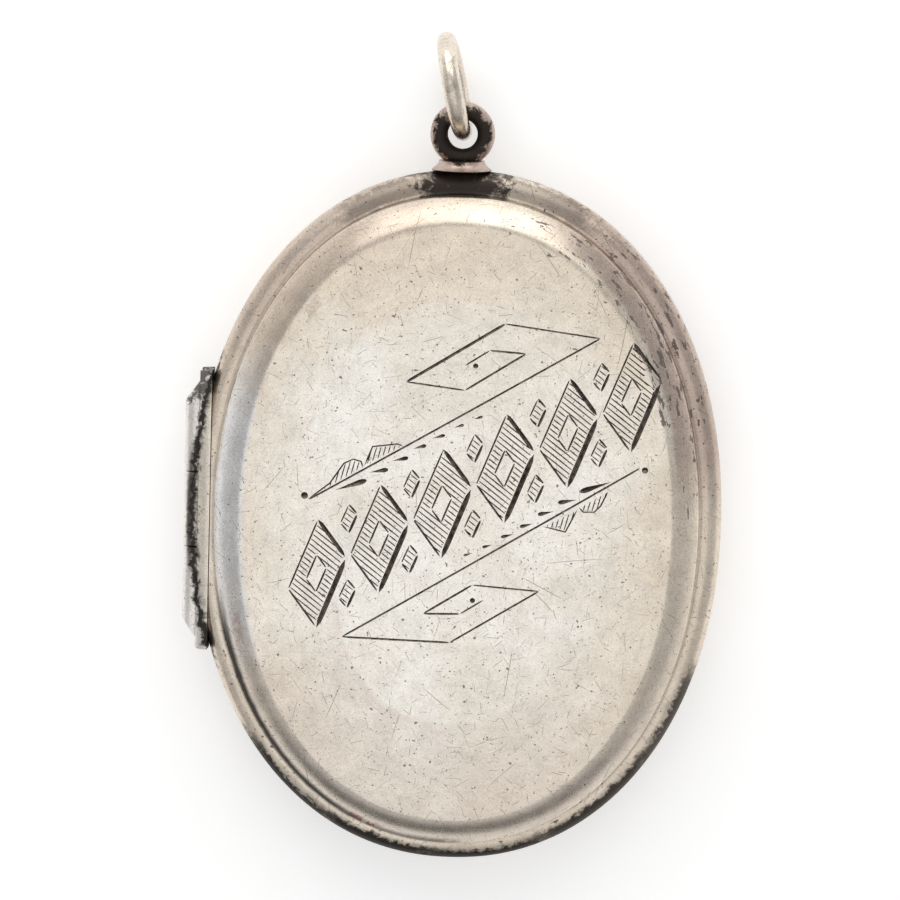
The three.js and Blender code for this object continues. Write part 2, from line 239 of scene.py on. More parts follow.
def hairlines(tree, place, cell, width, share, shift):
    node = tree.put("ShaderNodeGroup", node_tree=bpy.data.node_groups["hairlines"])
    feeds = {"Place": place, "Cell": cell, "Width": width, "Share": share, "Shift": shift}
    for key, value in feeds.items():
        tree.feed(node.inputs[key], value)
    return node.outputs[0]


def deepest(tree, values):
    """The largest of these masks at each point."""
    total = values[0]
    for value in values[1:]:
        total = tree.math("MAXIMUM", total, value)
    return total


def zone_mask(tree, oval, ragged, zones, rough_edge):
    """The strongest of the zones, each (azimuth, spread, inset from, inset to, strength)."""
    inset = tree.math("MULTIPLY_ADD", ragged, rough_edge, oval["Inset"])
    found = []
    for azimuth, spread, start, end, strength in zones:
        turn = math.radians(azimuth)
        facing = tree.vector("DOT_PRODUCT", oval["Way"], (math.cos(turn), math.sin(turn), 0.0))
        facing = tree.math("MULTIPLY_ADD", ragged, 0.04, facing)
        outer_edge, inner_edge = (math.cos(math.radians(spread * part)) for part in (1.3, 0.6))
        around = tree.between(facing, outer_edge, inner_edge)
        band = tree.math("MULTIPLY", tree.between(inset, start - 0.12, start + 0.12),
                         tree.between(inset, end + 0.2, end - 0.12))
        found.append(tree.math("MULTIPLY", tree.math("MULTIPLY", around, band), strength))
    return deepest(tree, found)


print("finish helpers ready")

# %% [markdown]
# ## Marks of wear
# Four things mark old silver. Hairlines hold a little dirt, and so do the tiny specks. Pits are
# eaten into it, and run along the edge. Tarnish is a black skin on top: ragged where it creeps
# out of a corner, and in loose patches where it is dirty. The same black mask also carries
# painted shade: ragged zones in gaps and under the loop, a clean painted line of shade where two
# pieces meet, and the shaded inside of the loop. Each helper below gives one mask, from 0 for
# none to 1 for full.

# %% The four masks
# each layer of hairlines is: size of its cells, width of a line, share of cells with one, shift
HAIRLINE_LAYERS = [(11.0, 0.034, 0.4, 3.1), (6.0, 0.030, 0.5, 17.4), (3.4, 0.028, 0.6, 41.9),
                   (2.1, 0.025, 0.75, 77.3), (1.3, 0.024, 0.9, 93.8), (0.8, 0.022, 0.95, 131.0)]


def scratches(tree, mm, cloud, amount):
    lines = deepest(tree, [hairlines(tree, mm, *layer) for layer in HAIRLINE_LAYERS])
    lines = tree.math("MULTIPLY", lines, tree.between(cloud, 0.3, 0.6, 0.6, 1.0))
    return tree.math("MULTIPLY", lines, amount, clamp=True)


def specks(tree, mm, amount):
    dots = tree.math("MAXIMUM", tree.between(noise_at(tree, mm, 3.4, 1.0, 0.5), 0.73, 0.77),
                     tree.between(noise_at(tree, mm, 6.5, 1.0, 0.5), 0.70, 0.76))
    return tree.math("MULTIPLY", dots, 0.85 * amount, clamp=True)


def pits(tree, mm, oval, ragged, streak, zones):
    where = zone_mask(tree, oval, ragged, zones, 1.6)
    holes = tree.math("ADD", tree.math("MULTIPLY", streak, 0.7),
                      tree.math("MULTIPLY", noise_at(tree, mm, 2.0, 5.0, 0.7, 0.3), 0.3))
    start = tree.math("MULTIPLY_ADD", where, -0.20, 0.73)
    eaten = tree.between(tree.math("SUBTRACT", holes, start), 0.0, 0.03)
    return tree.math("MULTIPLY", eaten, tree.between(where, 0.0, 0.3), clamp=True)


# the black: real tarnish and grime together with painted shade
def tarnish_and_painted_shade(tree, mm, oval, ragged, tarnish_and_shade_zones, painted_shade_lines, grime, tarnish_and_shade_within):
    masks = []
    if tarnish_and_shade_zones:
        masks.append(zone_mask(tree, oval, ragged, tarnish_and_shade_zones, 1.3))
    if grime:
        rising = 0.62 - 0.25 * grime, 0.80 - 0.25 * grime
        patch = tree.between(noise_at(tree, mm, 0.55, 6.0, 0.72, 0.4), *rising)
        masks.append(tree.math("MULTIPLY", patch, min(1.0, grime + 0.2)))
    # painted shade: a clean dark line in the corner where two pieces meet
    if painted_shade_lines:
        masks.append(zone_mask(tree, oval, ragged, painted_shade_lines, 0.2))
    if not masks:
        return None
    black = deepest(tree, masks)
    # black kept only near the loop: tarnish and painted shadow round its hole
    if tarnish_and_shade_within:
        centre_x, centre_y, reach = tarnish_and_shade_within
        away = tree.vector("MULTIPLY", tree.vector("SUBTRACT", mm, (centre_x, centre_y, SEAM_Z)), (1, 1, 0))
        away = tree.math("MULTIPLY_ADD", ragged, 1.6, tree.vector("LENGTH", away))
        black = tree.math("MULTIPLY", black, tree.between(away, reach + 0.12, reach - 0.12))
    return black


print("masks ready: hairlines, specks, pits, tarnish")

# %% Finish recipe: worn silver
SCRATCH_DIRT, SPECK_BROWN, PIT_GREY = (0.20, 0.16, 0.13, 1), (0.20, 0.14, 0.11, 1), (0.14, 0.12, 0.11, 1)


def aged_colour(tree, oval, broad, ragged, clean, aged, tints):
    """The clean colour, then the aged one in patches and towards the edge, then the tinted zones."""
    toward_edge = tree.between(oval["Inset"], 9.0, 2.0)
    ageing = tree.math("ADD", tree.math("MULTIPLY", broad, 0.5), tree.math("MULTIPLY", toward_edge, 0.65),
                       clamp=True)
    colour = blend_colour(tree, ageing, clean, aged)
    for zone, tint in tints:
        colour = blend_colour(tree, zone_mask(tree, oval, ragged, [zone], 0.4), colour, tint)
    return colour


def worn_silver(name, clean, aged, tarnish_and_shade, roughness, scratch=1.0, speck=1.0, grime=0.0, tarnish_and_shade_zones=(),
                painted_shade_lines=(), pit_zones=(), tints=(), tarnish_and_shade_within=None):
    material, tree, shader, mm = new_material(name)
    group = bpy.data.node_groups["round the oval"]
    oval = tree.put("ShaderNodeGroup", {"Place": mm}, node_tree=group).outputs
    broad = tree.between(noise_at(tree, mm, 0.11, 4.0, 0.6, 0.6), 0.34, 0.66)
    cloud = noise_at(tree, mm, 0.8, 5.0, 0.65, 0.3)
    grain = noise_at(tree, mm, 11.0, 3.0, 0.75)
    ragged = tree.math("SUBTRACT", noise_at(tree, mm, 1.6, 6.0, 0.72, 0.5), 0.5)
    streak = noise_at(tree, oval["Streaks"], 1.0, 3.0, 0.55, 0.1)
    colour = aged_colour(tree, oval, broad, ragged, clean, aged, tints)
    shade = tree.between(cloud, 0.2, 0.8, 0.86, 1.07)
    shade = tree.math("MULTIPLY", shade, tree.between(grain, 0.25, 0.72, 0.80, 1.15))
    shade = tree.math("MULTIPLY", shade, tree.between(streak, 0.25, 0.75, 0.95, 1.04))
    colour = tree.vector("SCALE", colour)
    tree.feed(colour.node.inputs["Scale"], shade)
    rough = tree.math("MULTIPLY_ADD", broad, 0.05, roughness)
    for pattern, amount in ((cloud, 0.14), (grain, 0.2)):
        rough = tree.math("MULTIPLY_ADD", tree.math("SUBTRACT", pattern, 0.5), amount, rough)
    height = tree.math("MULTIPLY", noise_at(tree, mm, 0.35, 2.0), 0.010)
    height = tree.math("MULTIPLY_ADD", grain, 0.0030, height)
    # each mark is: its mask, how far it covers, its colour, how much rougher, how much higher in mm
    marks = [(scratches(tree, mm, cloud, scratch), 0.8, SCRATCH_DIRT, 0.14, -0.004),
             (specks(tree, mm, speck), 1.0, SPECK_BROWN, 0.0, -0.006)]
    if pit_zones:
        marks.append((pits(tree, mm, oval, ragged, streak, pit_zones), 0.85, PIT_GREY, 0.2, -0.015))
    # black: real tarnish together with painted shade
    black = tarnish_and_painted_shade(tree, mm, oval, ragged, tarnish_and_shade_zones, painted_shade_lines, grime, tarnish_and_shade_within)
    if black is not None:
        marks.append((black, 0.97, tarnish_and_shade, 0.22, 0.008))
    for mask, cover, tone, rougher, higher in marks:
        colour = blend_colour(tree, tree.math("MULTIPLY", mask, cover), colour, tone)
        rough = tree.math("MULTIPLY_ADD", mask, rougher, rough)
        height = tree.math("MULTIPLY_ADD", mask, higher, height)
    tree.feed(shader.inputs["Base Color"], colour)
    shader.inputs["Metallic"].default_value = 1.0
    tree.feed(shader.inputs["Roughness"], tree.math("MINIMUM", rough, 0.85))
    bump = tree.put("ShaderNodeBump", {"Strength": 1.0, "Distance": 0.001, "Height": height})
    tree.feed(shader.inputs["Normal"], bump.outputs[0])
    return material


print("recipe ready")

# %% [markdown]
# ## Six silvers
# Each piece has its own history. The broad face is rubbed clean and its shoulder has browned; a
# painted grey reflection lies on the shoulder at the hinge side, a partly painted dark reflection
# on the lower shoulder, and a painted line of shade at the foot of the dome. The rim has painted
# shadow under the loop's collar and beside the ends of the barrel, and black tarnish round the
# lower end. The hinge has painted shade in its gap, the loop is black with tarnish and painted
# shadow round its hole but for its worn outer edge, and the frames were kept clean inside.
# Directions are in degrees, from 0 at the right, through 90 at the loop, to 180 at the hinge.

# %% Silver finishes
# one black for real tarnish and for painted shade
TARNISH_AND_SHADE_BLACK = (0.030, 0.025, 0.022, 1)
PINK_BROWN, PAINTED_GREY_REFLECTION, RIM_TAN = (0.52, 0.41, 0.35, 1), (0.76, 0.77, 0.78, 1), (0.86, 0.79, 0.68, 1)
RED_BROWN = (0.38, 0.15, 0.10, 1)
case_silver = worn_silver(
    "case silver", (0.97, 0.94, 0.87, 1), (0.81, 0.715, 0.59, 1), TARNISH_AND_SHADE_BLACK, 0.25,
    # painted shade: a dark line at the foot of the dome, lower left, lower end and hinge side
    painted_shade_lines=[(229, 27, 1.05, 1.60, 1.0), (262, 10, 1.05, 1.55, 0.7), (180, 26, 1.2, 1.38, 0.3)],
    pit_zones=[(44, 20, 1.0, 3.0, 1.0), (16, 16, 1.0, 2.4, 0.75), (70, 9, 1.0, 3.4, 0.75)],
    # painted reflection: the grey on the shoulder at the hinge side (178)
    tints=[((42, 30, 1.0, 2.4, 0.85), PINK_BROWN), ((178, 34, 1.4, 3.0, 0.8), PAINTED_GREY_REFLECTION),
           ((120, 26, 1.0, 3.0, 0.5), PINK_BROWN), ((262, 44, 1.6, 8.5, 0.5), (0.76, 0.68, 0.60, 1)),
           # the darker brown on the lower shoulder (270) is partly brown tone, partly a painted dark
           # reflection
           ((270, 75, 1.3, 2.6, 0.5), (0.62, 0.54, 0.47, 1)), ((254.7, 1.8, 1.0, 1.7, 0.9), RED_BROWN),
           ((207.5, 3.5, 1.9, 2.5, 0.3), RED_BROWN),
           ((125, 1.8, 3.2, 3.8, 0.55), PINK_BROWN), ((98, 22, 2.8, 7.0, 0.4), (0.84, 0.72, 0.58, 1))])
rim_silver = worn_silver(
    "rim silver", (0.92, 0.85, 0.73, 1), (0.78, 0.68, 0.56, 1), TARNISH_AND_SHADE_BLACK, 0.30, grime=0.14, speck=1.2,
    # painted shadow under the loop's collar (90.5, 103, 77) and beside the barrel ends (152, 208); the zones
    # round the lower end are real black tarnish
    tarnish_and_shade_zones=[(90.5, 8.0, -0.5, 1.5, 1.0), (103, 9, 0.1, 1.3, 0.5), (77, 9, 0.1, 1.3, 0.5),
                 (240, 12, -0.5, 0.46, 1.0), (258, 12, -0.5, 0.66, 1.0), (276, 12, -0.5, 0.50, 1.0),
                 (298, 14, -0.5, 0.64, 0.95), (317, 12, -0.5, 0.50, 0.9), (152, 5, -0.5, 0.20, 1.0),
                 (208, 5, -0.5, 0.20, 1.0)],
    # painted shade: the same dark line on the rim's side of the corner
    painted_shade_lines=[(229, 27, 1.08, 1.5, 1.0), (262, 10, 1.1, 1.5, 0.7)],
    pit_zones=[(45, 26, 0.0, 1.5, 0.85), (262, 40, 0.0, 1.3, 0.6), (175, 40, 0.0, 1.0, 0.6)],
    tints=[((42, 32, 0.0, 1.4, 0.85), PINK_BROWN), ((120, 26, 0.0, 1.4, 0.5), PINK_BROWN)])
hinge_silver = worn_silver(
    "hinge silver", (0.95, 0.93, 0.89, 1), (0.88, 0.84, 0.79, 1), TARNISH_AND_SHADE_BLACK, 0.34, scratch=0.6, grime=0.14,
    # painted shade: black in the gap between barrel and rim, at the top end of the barrel, and a dark line
    # along it
    tarnish_and_shade_zones=[(180, 50, -0.26, 0.14, 1.0), (153, 4, -1.2, 0.2, 0.8)],
    painted_shade_lines=[(180, 13, -0.40, -0.06, 0.9)],
    tints=[((180, 60, 0.1, 2.0, 1.0), RIM_TAN)])
# the loop's black round its hole is real tarnish with painted shadow
bail_silver = worn_silver(
    "bail silver", (0.66, 0.54, 0.46, 1), (0.50, 0.39, 0.33, 1), TARNISH_AND_SHADE_BLACK, 0.32, scratch=0.7, speck=1.3,
    grime=1.4, tarnish_and_shade_within=(BAIL_X, LOOP_Y, 1.62))
ring_silver = worn_silver(
    "ring silver", (0.95, 0.90, 0.79, 1), (0.76, 0.66, 0.55, 1), TARNISH_AND_SHADE_BLACK, 0.24, scratch=0.8, grime=0.3)
frame_silver = worn_silver(
    "frame silver", (0.90, 0.86, 0.79, 1), (0.82, 0.75, 0.66, 1), TARNISH_AND_SHADE_BLACK, 0.16, scratch=0.45, speck=0.3)
print("silver finishes:", 6)

# %% [markdown]
# ## The other finishes
# The cut lines are silver too, but blackened: oxide and old polish fill them. The window is a
# thin clear sheet gone slightly yellow. The portrait is left blank: a sepia card with paler
# edges and foxing. The backing is plain brown card with visible fibre.

# %% Finish: blackened cuts
cut_silver, tree, shader, mm = new_material("blackened cuts")
filled = tree.between(noise_at(tree, mm, 3.0, 5.0, 0.7), 0.35, 0.65)
soot = blend_colour(tree, filled, (0.05, 0.042, 0.036, 1), (0.20, 0.17, 0.14, 1))
tree.feed(shader.inputs["Base Color"], soot)
tree.feed(shader.inputs["Roughness"], tree.between(filled, 0.0, 1.0, 0.55, 0.38))
shader.inputs["Metallic"].default_value = 1.0
print("finish:", cut_silver.name)

# %% Finish: window, portrait card and backing card
window_clear, tree, shader, mm = new_material("window sheet")
haze = noise_at(tree, mm, 0.4, 4.0, 0.6)
tree.feed(shader.inputs["Base Color"], blend_colour(tree, haze, (0.93, 0.92, 0.86, 1), (0.86, 0.82, 0.70, 1)))
tree.feed(shader.inputs["Alpha"], tree.between(haze, 0.3, 0.7, 0.14, 0.24))
tree.feed(shader.inputs["Roughness"], tree.between(haze, 0.3, 0.7, 0.04, 0.10))
shader.inputs["Specular IOR Level"].default_value = 1.0

photo_card, tree, shader, mm = new_material("blank photograph")
x, y, z = tree.separate(mm)
spread = tree.math("SQRT", tree.math("ADD", tree.math("POWER", tree.math("DIVIDE", x, 12.4), 2.0),
                                     tree.math("POWER", tree.math("DIVIDE", y, 17.2), 2.0)))
fade = tree.between(spread, 0.35, 1.0)
card = blend_colour(tree, fade, (0.52, 0.38, 0.25, 1), (0.70, 0.59, 0.44, 1))
foxing = tree.between(noise_at(tree, mm, 0.8, 6.0, 0.7), 0.62, 0.74)
card = blend_colour(tree, tree.math("MULTIPLY", foxing, 0.5), card, (0.30, 0.18, 0.10, 1))
tree.feed(shader.inputs["Base Color"], card)
tree.feed(shader.inputs["Roughness"], tree.between(foxing, 0.0, 1.0, 0.42, 0.6))

backing_card, tree, shader, mm = new_material("backing card")
fibre = noise_at(tree, tree.vector("MULTIPLY", mm, (1.0, 4.0, 1.0)), 2.5, 5.0, 0.7, 0.8)
card = blend_colour(tree, fibre, (0.30, 0.22, 0.14, 1), (0.52, 0.42, 0.29, 1))
tree.feed(shader.inputs["Base Color"], card)
shader.inputs["Roughness"].default_value = 0.9
tree.feed(shader.inputs["Normal"],
          tree.put("ShaderNodeBump", {"Strength": 0.6, "Distance": 0.00005, "Height": fibre}).outputs[0])
print("finishes:", window_clear.name, photo_card.name, backing_card.name)

# %% [markdown]
# ## The oval sweep
# Rims, covers, lip, frames and cards all follow the same oval, so one Geometry Nodes tree makes
# them all. It carries a cross-section round a circle, then puts each point on the oval: first
# its turn round the oval and its place in the section are stored, then its real place is worked
# out. The oval is a superellipse, a touch squarer than an ellipse.

# %% Node group: oval sweep
sweep, given, result = node_group(
    "oval sweep", "GeometryNodeTree",
    [("Section", "NodeSocketGeometry", None), ("Half Width", "NodeSocketFloat", HALF_WIDTH),
     ("Half Height", "NodeSocketFloat", HALF_HEIGHT), ("Power", "NodeSocketFloat", OVAL_POWER),
     ("Seam Height", "NodeSocketFloat", SEAM_Z), ("Side", "NodeSocketFloat", 1.0),
     ("Steps", "NodeSocketInt", OVAL_STEPS), ("Finish", "NodeSocketMaterial", None)],
    [("Piece", "NodeSocketGeometry")])


def stored(tree, geometry, name, value, kind):
    feeds = {"Geometry": geometry, "Name": name, "Value": value}
    return tree.put("GeometryNodeStoreNamedAttribute", feeds, data_type=kind, domain="POINT").outputs[0]


def named(tree, name, kind):
    return tree.put("GeometryNodeInputNamedAttribute", {"Name": name}, data_type=kind).outputs[0]


drawn_at = sweep.put("GeometryNodeInputPosition").outputs[0]
profile = stored(sweep, given["Section"], "section", drawn_at, "FLOAT_VECTOR")
profile = sweep.put("GeometryNodeMeshToCurve", {"Mesh": profile}).outputs[0]
index = sweep.put("GeometryNodeInputIndex").outputs[0]
turn = sweep.math("MULTIPLY", sweep.math("DIVIDE", index, given["Steps"]), 2 * math.pi)
path = sweep.put("GeometryNodeCurvePrimitiveCircle", {"Resolution": given["Steps"]}).outputs[0]
path = stored(sweep, path, "turn", turn, "FLOAT")
skin = sweep.put("GeometryNodeCurveToMesh", {"Curve": path, "Profile Curve": profile}).outputs[0]
turn = named(sweep, "turn", "FLOAT")
inset, rise, _ = sweep.separate(named(sweep, "section", "FLOAT_VECTOR"))
radius = sweep.math("SUBTRACT", given["Half Width"], inset)
longer = sweep.math("ADD", radius, sweep.math("SUBTRACT", given["Half Height"], given["Half Width"]))
exponent = sweep.math("DIVIDE", 2.0, given["Power"])


def oval_part(wave):
    size = sweep.math("POWER", sweep.math("ABSOLUTE", wave), exponent)
    return sweep.math("MULTIPLY", size, sweep.math("SIGN", wave))


place = sweep.combine(
    sweep.math("MULTIPLY", radius, oval_part(sweep.math("COSINE", turn))),
    sweep.math("MULTIPLY", longer, oval_part(sweep.math("SINE", turn))),
    sweep.math("MULTIPLY_ADD", rise, given["Side"], given["Seam Height"]))
skin = sweep.put("GeometryNodeSetPosition", {"Geometry": skin, "Position": place}).outputs[0]
skin = sweep.put("GeometryNodeMergeByDistance", {"Geometry": skin, "Distance": 1e-4}).outputs[0]
skin = sweep.put("GeometryNodeRealizeInstances", {"Geometry": skin}).outputs[0]
skin = sweep.put("GeometryNodeSetMaterial", {"Geometry": skin, "Material": given["Finish"]}).outputs[0]
sweep.feed(result[0], skin)
print("oval sweep:", len(sweep.nodes), "nodes")

# %% [markdown]
# ## Helpers that turn drawings into pieces
# A node tree is run once and its result kept as a plain mesh. Cutting is done with the boolean
# modifier, whose result is kept the same way. `tidy_faces` turns the faces of a new shape
# outward. `settle` ends every piece: it merges doubled points, marks real creases sharp, brings
# it to metres, hangs it on the body it rides on, and hides the CAD nodes it stands for.

# %% Helpers for pieces
def mesh_object(name, points, edges=(), faces=()):
    mesh = bpy.data.meshes.new(name)
    mesh.from_pydata(points, edges, faces)
    piece = bpy.data.objects.new(name, mesh)
    bpy.context.scene.collection.objects.link(piece)
    return piece


def keep_result(piece):
    """Replaces a piece's mesh by what its modifiers make of it, and removes them."""
    bpy.context.view_layer.update()
    depsgraph = bpy.context.evaluated_depsgraph_get()
    mesh = bpy.data.meshes.new_from_object(piece.evaluated_get(depsgraph), depsgraph=depsgraph)
    piece.modifiers.clear()
    piece.data = mesh
    return piece


def run_nodes(piece, group_name, **values):
    modifier = piece.modifiers.new("nodes", "NODES")
    modifier.node_group = bpy.data.node_groups[group_name]
    for socket in modifier.node_group.interface.items_tree:
        if socket.in_out == "INPUT" and socket.name.replace(" ", "_") in values:
            modifier[socket.identifier] = values[socket.name.replace(" ", "_")]
    return keep_result(piece)


def swept(name, section, side, finish, closed=True):
    """A piece with this cross-section all round the oval. An open section is solid across."""
    edges = [(i, i + 1) for i in range(len(section) - 1)]
    if closed:
        edges.append((len(section) - 1, 0))
    piece = mesh_object(name, [(inset, rise, 0.0) for inset, rise in section], edges)
    run_nodes(piece, "oval sweep", Side=float(side), Finish=finish)
    return tidy_faces(piece)


def tidy_faces(piece):
    shape = bmesh.new()
    shape.from_mesh(piece.data)
    bmesh.ops.remove_doubles(shape, verts=shape.verts, dist=1e-4)
    bmesh.ops.recalc_face_normals(shape, faces=shape.faces)
    open_edges = sum(len(edge.link_faces) != 2 for edge in shape.edges)
    shape.to_mesh(piece.data)
    shape.free()
    if open_edges:
        print("  note:", piece.name, "has", open_edges, "open edges")
    return piece


def carve(piece, *cutters, materials="INDEX"):
    """Cuts the cutters away. With materials at TRANSFER, the cut faces take the cutter's finish."""
    for cutter in cutters:
        modifier = piece.modifiers.new("cut", "BOOLEAN")
        modifier.object, modifier.operation, modifier.solver = cutter, "DIFFERENCE", "MANIFOLD"
        modifier.material_mode = materials
    keep_result(piece)
    for cutter in cutters:
        bpy.data.objects.remove(cutter)
    return piece


def settle(piece, body, slot, finish, *nodes, crease=34.0):
    shape = bmesh.new()
    shape.from_mesh(piece.data)
    bmesh.ops.remove_doubles(shape, verts=shape.verts, dist=2e-4)
    bmesh.ops.dissolve_degenerate(shape, edges=shape.edges, dist=1e-4)
    bmesh.ops.scale(shape, verts=shape.verts, vec=(0.001, 0.001, 0.001))
    limit = math.radians(crease)
    for face in shape.faces:
        face.smooth = True
    for edge in shape.edges:
        if len(edge.link_faces) == 2:
            first, second = edge.link_faces
            edge.smooth = edge.calc_face_angle(0.0) < limit and first.material_index == second.material_index
    shape.to_mesh(piece.data)
    shape.free()
    if not piece.data.materials:
        piece.data.materials.append(finish)
    for place, material in enumerate(piece.data.materials):
        if material is None:
            piece.data.materials[place] = finish
    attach(piece, body)
    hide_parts(*nodes)
    print(f"{piece.name}: {len(piece.data.polygons)} faces, on {body}")
    return piece


def quarter(centre_inset, centre_rise, width, height, steps):
    """A quarter of an ellipse, from straight away from the seam to level."""
    turns = [i / steps * math.pi / 2 for i in range(steps + 1)]
    return [(centre_inset - width * math.cos(t), centre_rise + height * math.sin(t)) for t in turns]


def box_cutter(low, high):
    points = [(x, y, z) for x in (low[0], high[0]) for y in (low[1], high[1]) for z in (low[2], high[2])]
    faces = [(0, 1, 3, 2), (4, 6, 7, 5), (0, 4, 5, 1), (2, 3, 7, 6), (0, 2, 6, 4), (1, 5, 7, 3)]
    return tidy_faces(mesh_object("cutter", points, faces=faces))


def turned(name, profile, x=AXIS_X, z=SEAM_Z, steps=96):
    """A piece turned on an axis along Y. The profile is a ring of (radius, y, slant) points; with a
    slant of 1 a point slides along the axis, so that the end comes out cut at an angle."""
    rings = []
    for i in range(steps):
        turn = 2 * math.pi * i / steps
        cosine, sine = math.cos(turn), math.sin(turn)
        rings += [(x + r * cosine, y + slant * BARREL_SLANT * r * cosine, z + r * sine)
                  for r, y, slant in profile]
    count = len(profile)
    faces = [(i * count + j, i * count + (j + 1) % count, (i + 1) % steps * count + (j + 1) % count,
              (i + 1) % steps * count + j) for i in range(steps) for j in range(count)
             if profile[j][0] or profile[(j + 1) % count][0]]
    return tidy_faces(mesh_object(name, rings, faces=faces))


def wire_ring(name, centre, radius, wire, ahead, up, steps, round_steps, wear=None, growth=0.0):
    """A closed ring of round wire in the plane of ahead and up. Wear(turn) is how thin it has got."""
    side = ahead.cross(up)
    points = []
    for i in range(steps):
        turn = 2 * math.pi * i / steps
        out = ahead * math.cos(turn) + up * math.sin(turn)
        size = wire * (wear(turn) if wear else 1.0) + growth
        for j in range(round_steps):
            roll = 2 * math.pi * j / round_steps
            points.append(centre + out * (radius + size * math.cos(roll)) + side * (size * math.sin(roll)))
    faces = [(i * round_steps + j, i * round_steps + (j + 1) % round_steps,
              (i + 1) % steps * round_steps + (j + 1) % round_steps, (i + 1) % steps * round_steps + j)
             for i in range(steps) for j in range(round_steps)]
    return tidy_faces(mesh_object(name, points, faces=faces))


print("helpers ready")

# %% [markdown]
# ## The rims
# Each half has a rim soldered round its shell, and the two close to one half-round bead. A rim
# could be bent from wire; here its section is a quarter circle, swept round the oval, with the
# solder creeping up the cover's wall. At the hinge a slot is cut for the leaf and a groove for
# the barrel, with the boolean modifier, because that is how the maker does it too: the rim is
# finished first and filed out for the hinge.

# %% The rims
def rim_section():
    bead = quarter(BEAD_RADIUS, SEAM_GAP, BEAD_RADIUS, BEAD_RADIUS, 18)[1:]
    soft_edge = [(0.07, SEAM_GAP), (0.025, SEAM_GAP + 0.015), (0.006, SEAM_GAP + 0.045)]
    solder = [(1.06, 0.985), (1.14, 1.005), (1.21, 1.045), (1.265, 1.11), (1.300, 1.20), (1.318, 1.30)]
    wall = [(1.296, 1.06), (1.292, 0.80), (1.292, SEAM_GAP), (0.60, SEAM_GAP)]
    return soft_edge + bead + solder + wall


def barrel_cutter():
    points = [(0.0, -HALF_HEIGHT, 0), (GROOVE_RADIUS, -HALF_HEIGHT, 0), (GROOVE_RADIUS, HALF_HEIGHT, 0),
              (0.0, HALF_HEIGHT, 0)]
    return turned("cutter", points)


def leaf_slot():
    end = BARREL_HALF + SEAT
    return box_cutter((-HALF_WIDTH - 1, -end, -1), (LEAF_X, end, 2 * HALF_DEPTH + 1))


for body, side in (("back", BACK), ("front", FRONT)):
    rim = swept(f"{body}_rim_bead", rim_section(), side, rim_silver)
    carve(rim, leaf_slot(), barrel_cutter())
    settle(rim, body, "rim_silver", rim_silver, f"{body}_rim")

# %% [markdown]
# ## The covers
# A cover is pressed from sheet: a straight skirt that sits inside the rim, a shoulder that rolls
# over its corner into a soft slope, and a broad face. The back face is flat. The front face has
# the slight crown that every pressed lid keeps, which is what spreads its reflections. The inside
# is a plainer curve, about the thickness of the sheet below the outside.

# %% The covers
def crown_rings(top_rise, crown, steps):
    """The face from its edge to its middle."""
    rows = []
    for i in range(1, steps + 1):
        part = 1 - i / steps
        rows.append((HALF_WIDTH - part * (HALF_WIDTH - PILLOW_INSET), top_rise - crown * part * part))
    return rows


def shoulder(crown, steps=26):
    """Up the wall, over its rounded corner, then up a slope that eases into the face."""
    edge_rise = HALF_DEPTH - crown
    wall_top = edge_rise - SLOPE_DROP
    corner = quarter(SKIRT_INSET + CORNER, wall_top - CORNER, CORNER, CORNER, 5)[:4]
    width = PILLOW_INSET - corner[-1][0]
    drop = edge_rise - corner[-1][1]
    slope = [(PILLOW_INSET - width * (1 - i / steps), edge_rise - drop * (1 - i / steps) ** SLOPE_POWER)
             for i in range(1, steps + 1)]
    return [(SKIRT_INSET, GROOVE_RISE)] + corner + slope


def cover_section(crown, face_steps):
    face_rise = HALF_DEPTH - crown - GROOVE_RISE
    outside = shoulder(crown)
    inside = quarter(PILLOW_INSET, GROOVE_RISE, PILLOW_WIDTH - SHEET, face_rise - SHEET, 10)
    lower = inside + crown_rings(HALF_DEPTH - SHEET, crown, 6)
    return (lower[::-1] + [(SKIRT_INSET + SHEET, SEAM_GAP), (SKIRT_INSET, SEAM_GAP)]
            + outside + crown_rings(HALF_DEPTH, crown, face_steps))


back_cover = swept("back_cover_shell", cover_section(0.0, 5), BACK, case_silver, closed=False)
settle(back_cover, "back", "case_silver", case_silver, "back_cover")
front_cover = swept("front_cover_shell", cover_section(FRONT_CROWN, 30), FRONT, case_silver, closed=False)
print("front face:", len(front_cover.data.polygons), "faces before engraving")

# %% [markdown]
# ## The graver
# An engraver pushes a small chisel that leaves a V-shaped furrow, pointed where it goes in and
# where it comes out, and wider where it is pressed deeper. So a stroke here is a line of points,
# each with a half width. A Geometry Nodes tree drops the points onto the face, runs a V along
# them that grows and shrinks with that width, and the result is cut away from the cover. The
# lines are then real furrows that catch the light, which a painted pattern wouldn't.

# %% Node group: graver cuts
graver, given, result = node_group(
    "graver cuts", "GeometryNodeTree",
    [("Strokes", "NodeSocketGeometry", None), ("Surface", "NodeSocketObject", None),
     ("Steepness", "NodeSocketFloat", 0.6), ("Finish", "NodeSocketMaterial", None)],
    [("Cutters", "NodeSocketGeometry")])
face = graver.put("GeometryNodeObjectInfo", {"Object": given["Surface"]}).outputs["Geometry"]
spot = graver.put("GeometryNodeInputPosition").outputs[0]
hit = graver.put("GeometryNodeRaycast", {
    "Target Geometry": face, "Source Position": graver.vector("ADD", spot, (0.0, 0.0, 20.0)),
    "Ray Direction": (0.0, 0.0, -1.0), "Ray Length": 100.0})
line = graver.put("GeometryNodeSetPosition", {
    "Geometry": given["Strokes"], "Position": hit.outputs["Hit Position"]})
line = graver.put("GeometryNodeMeshToCurve", {"Mesh": line.outputs[0]}).outputs[0]
line = graver.put("GeometryNodeSetCurveNormal", {"Curve": line}, mode="Z_UP").outputs[0]
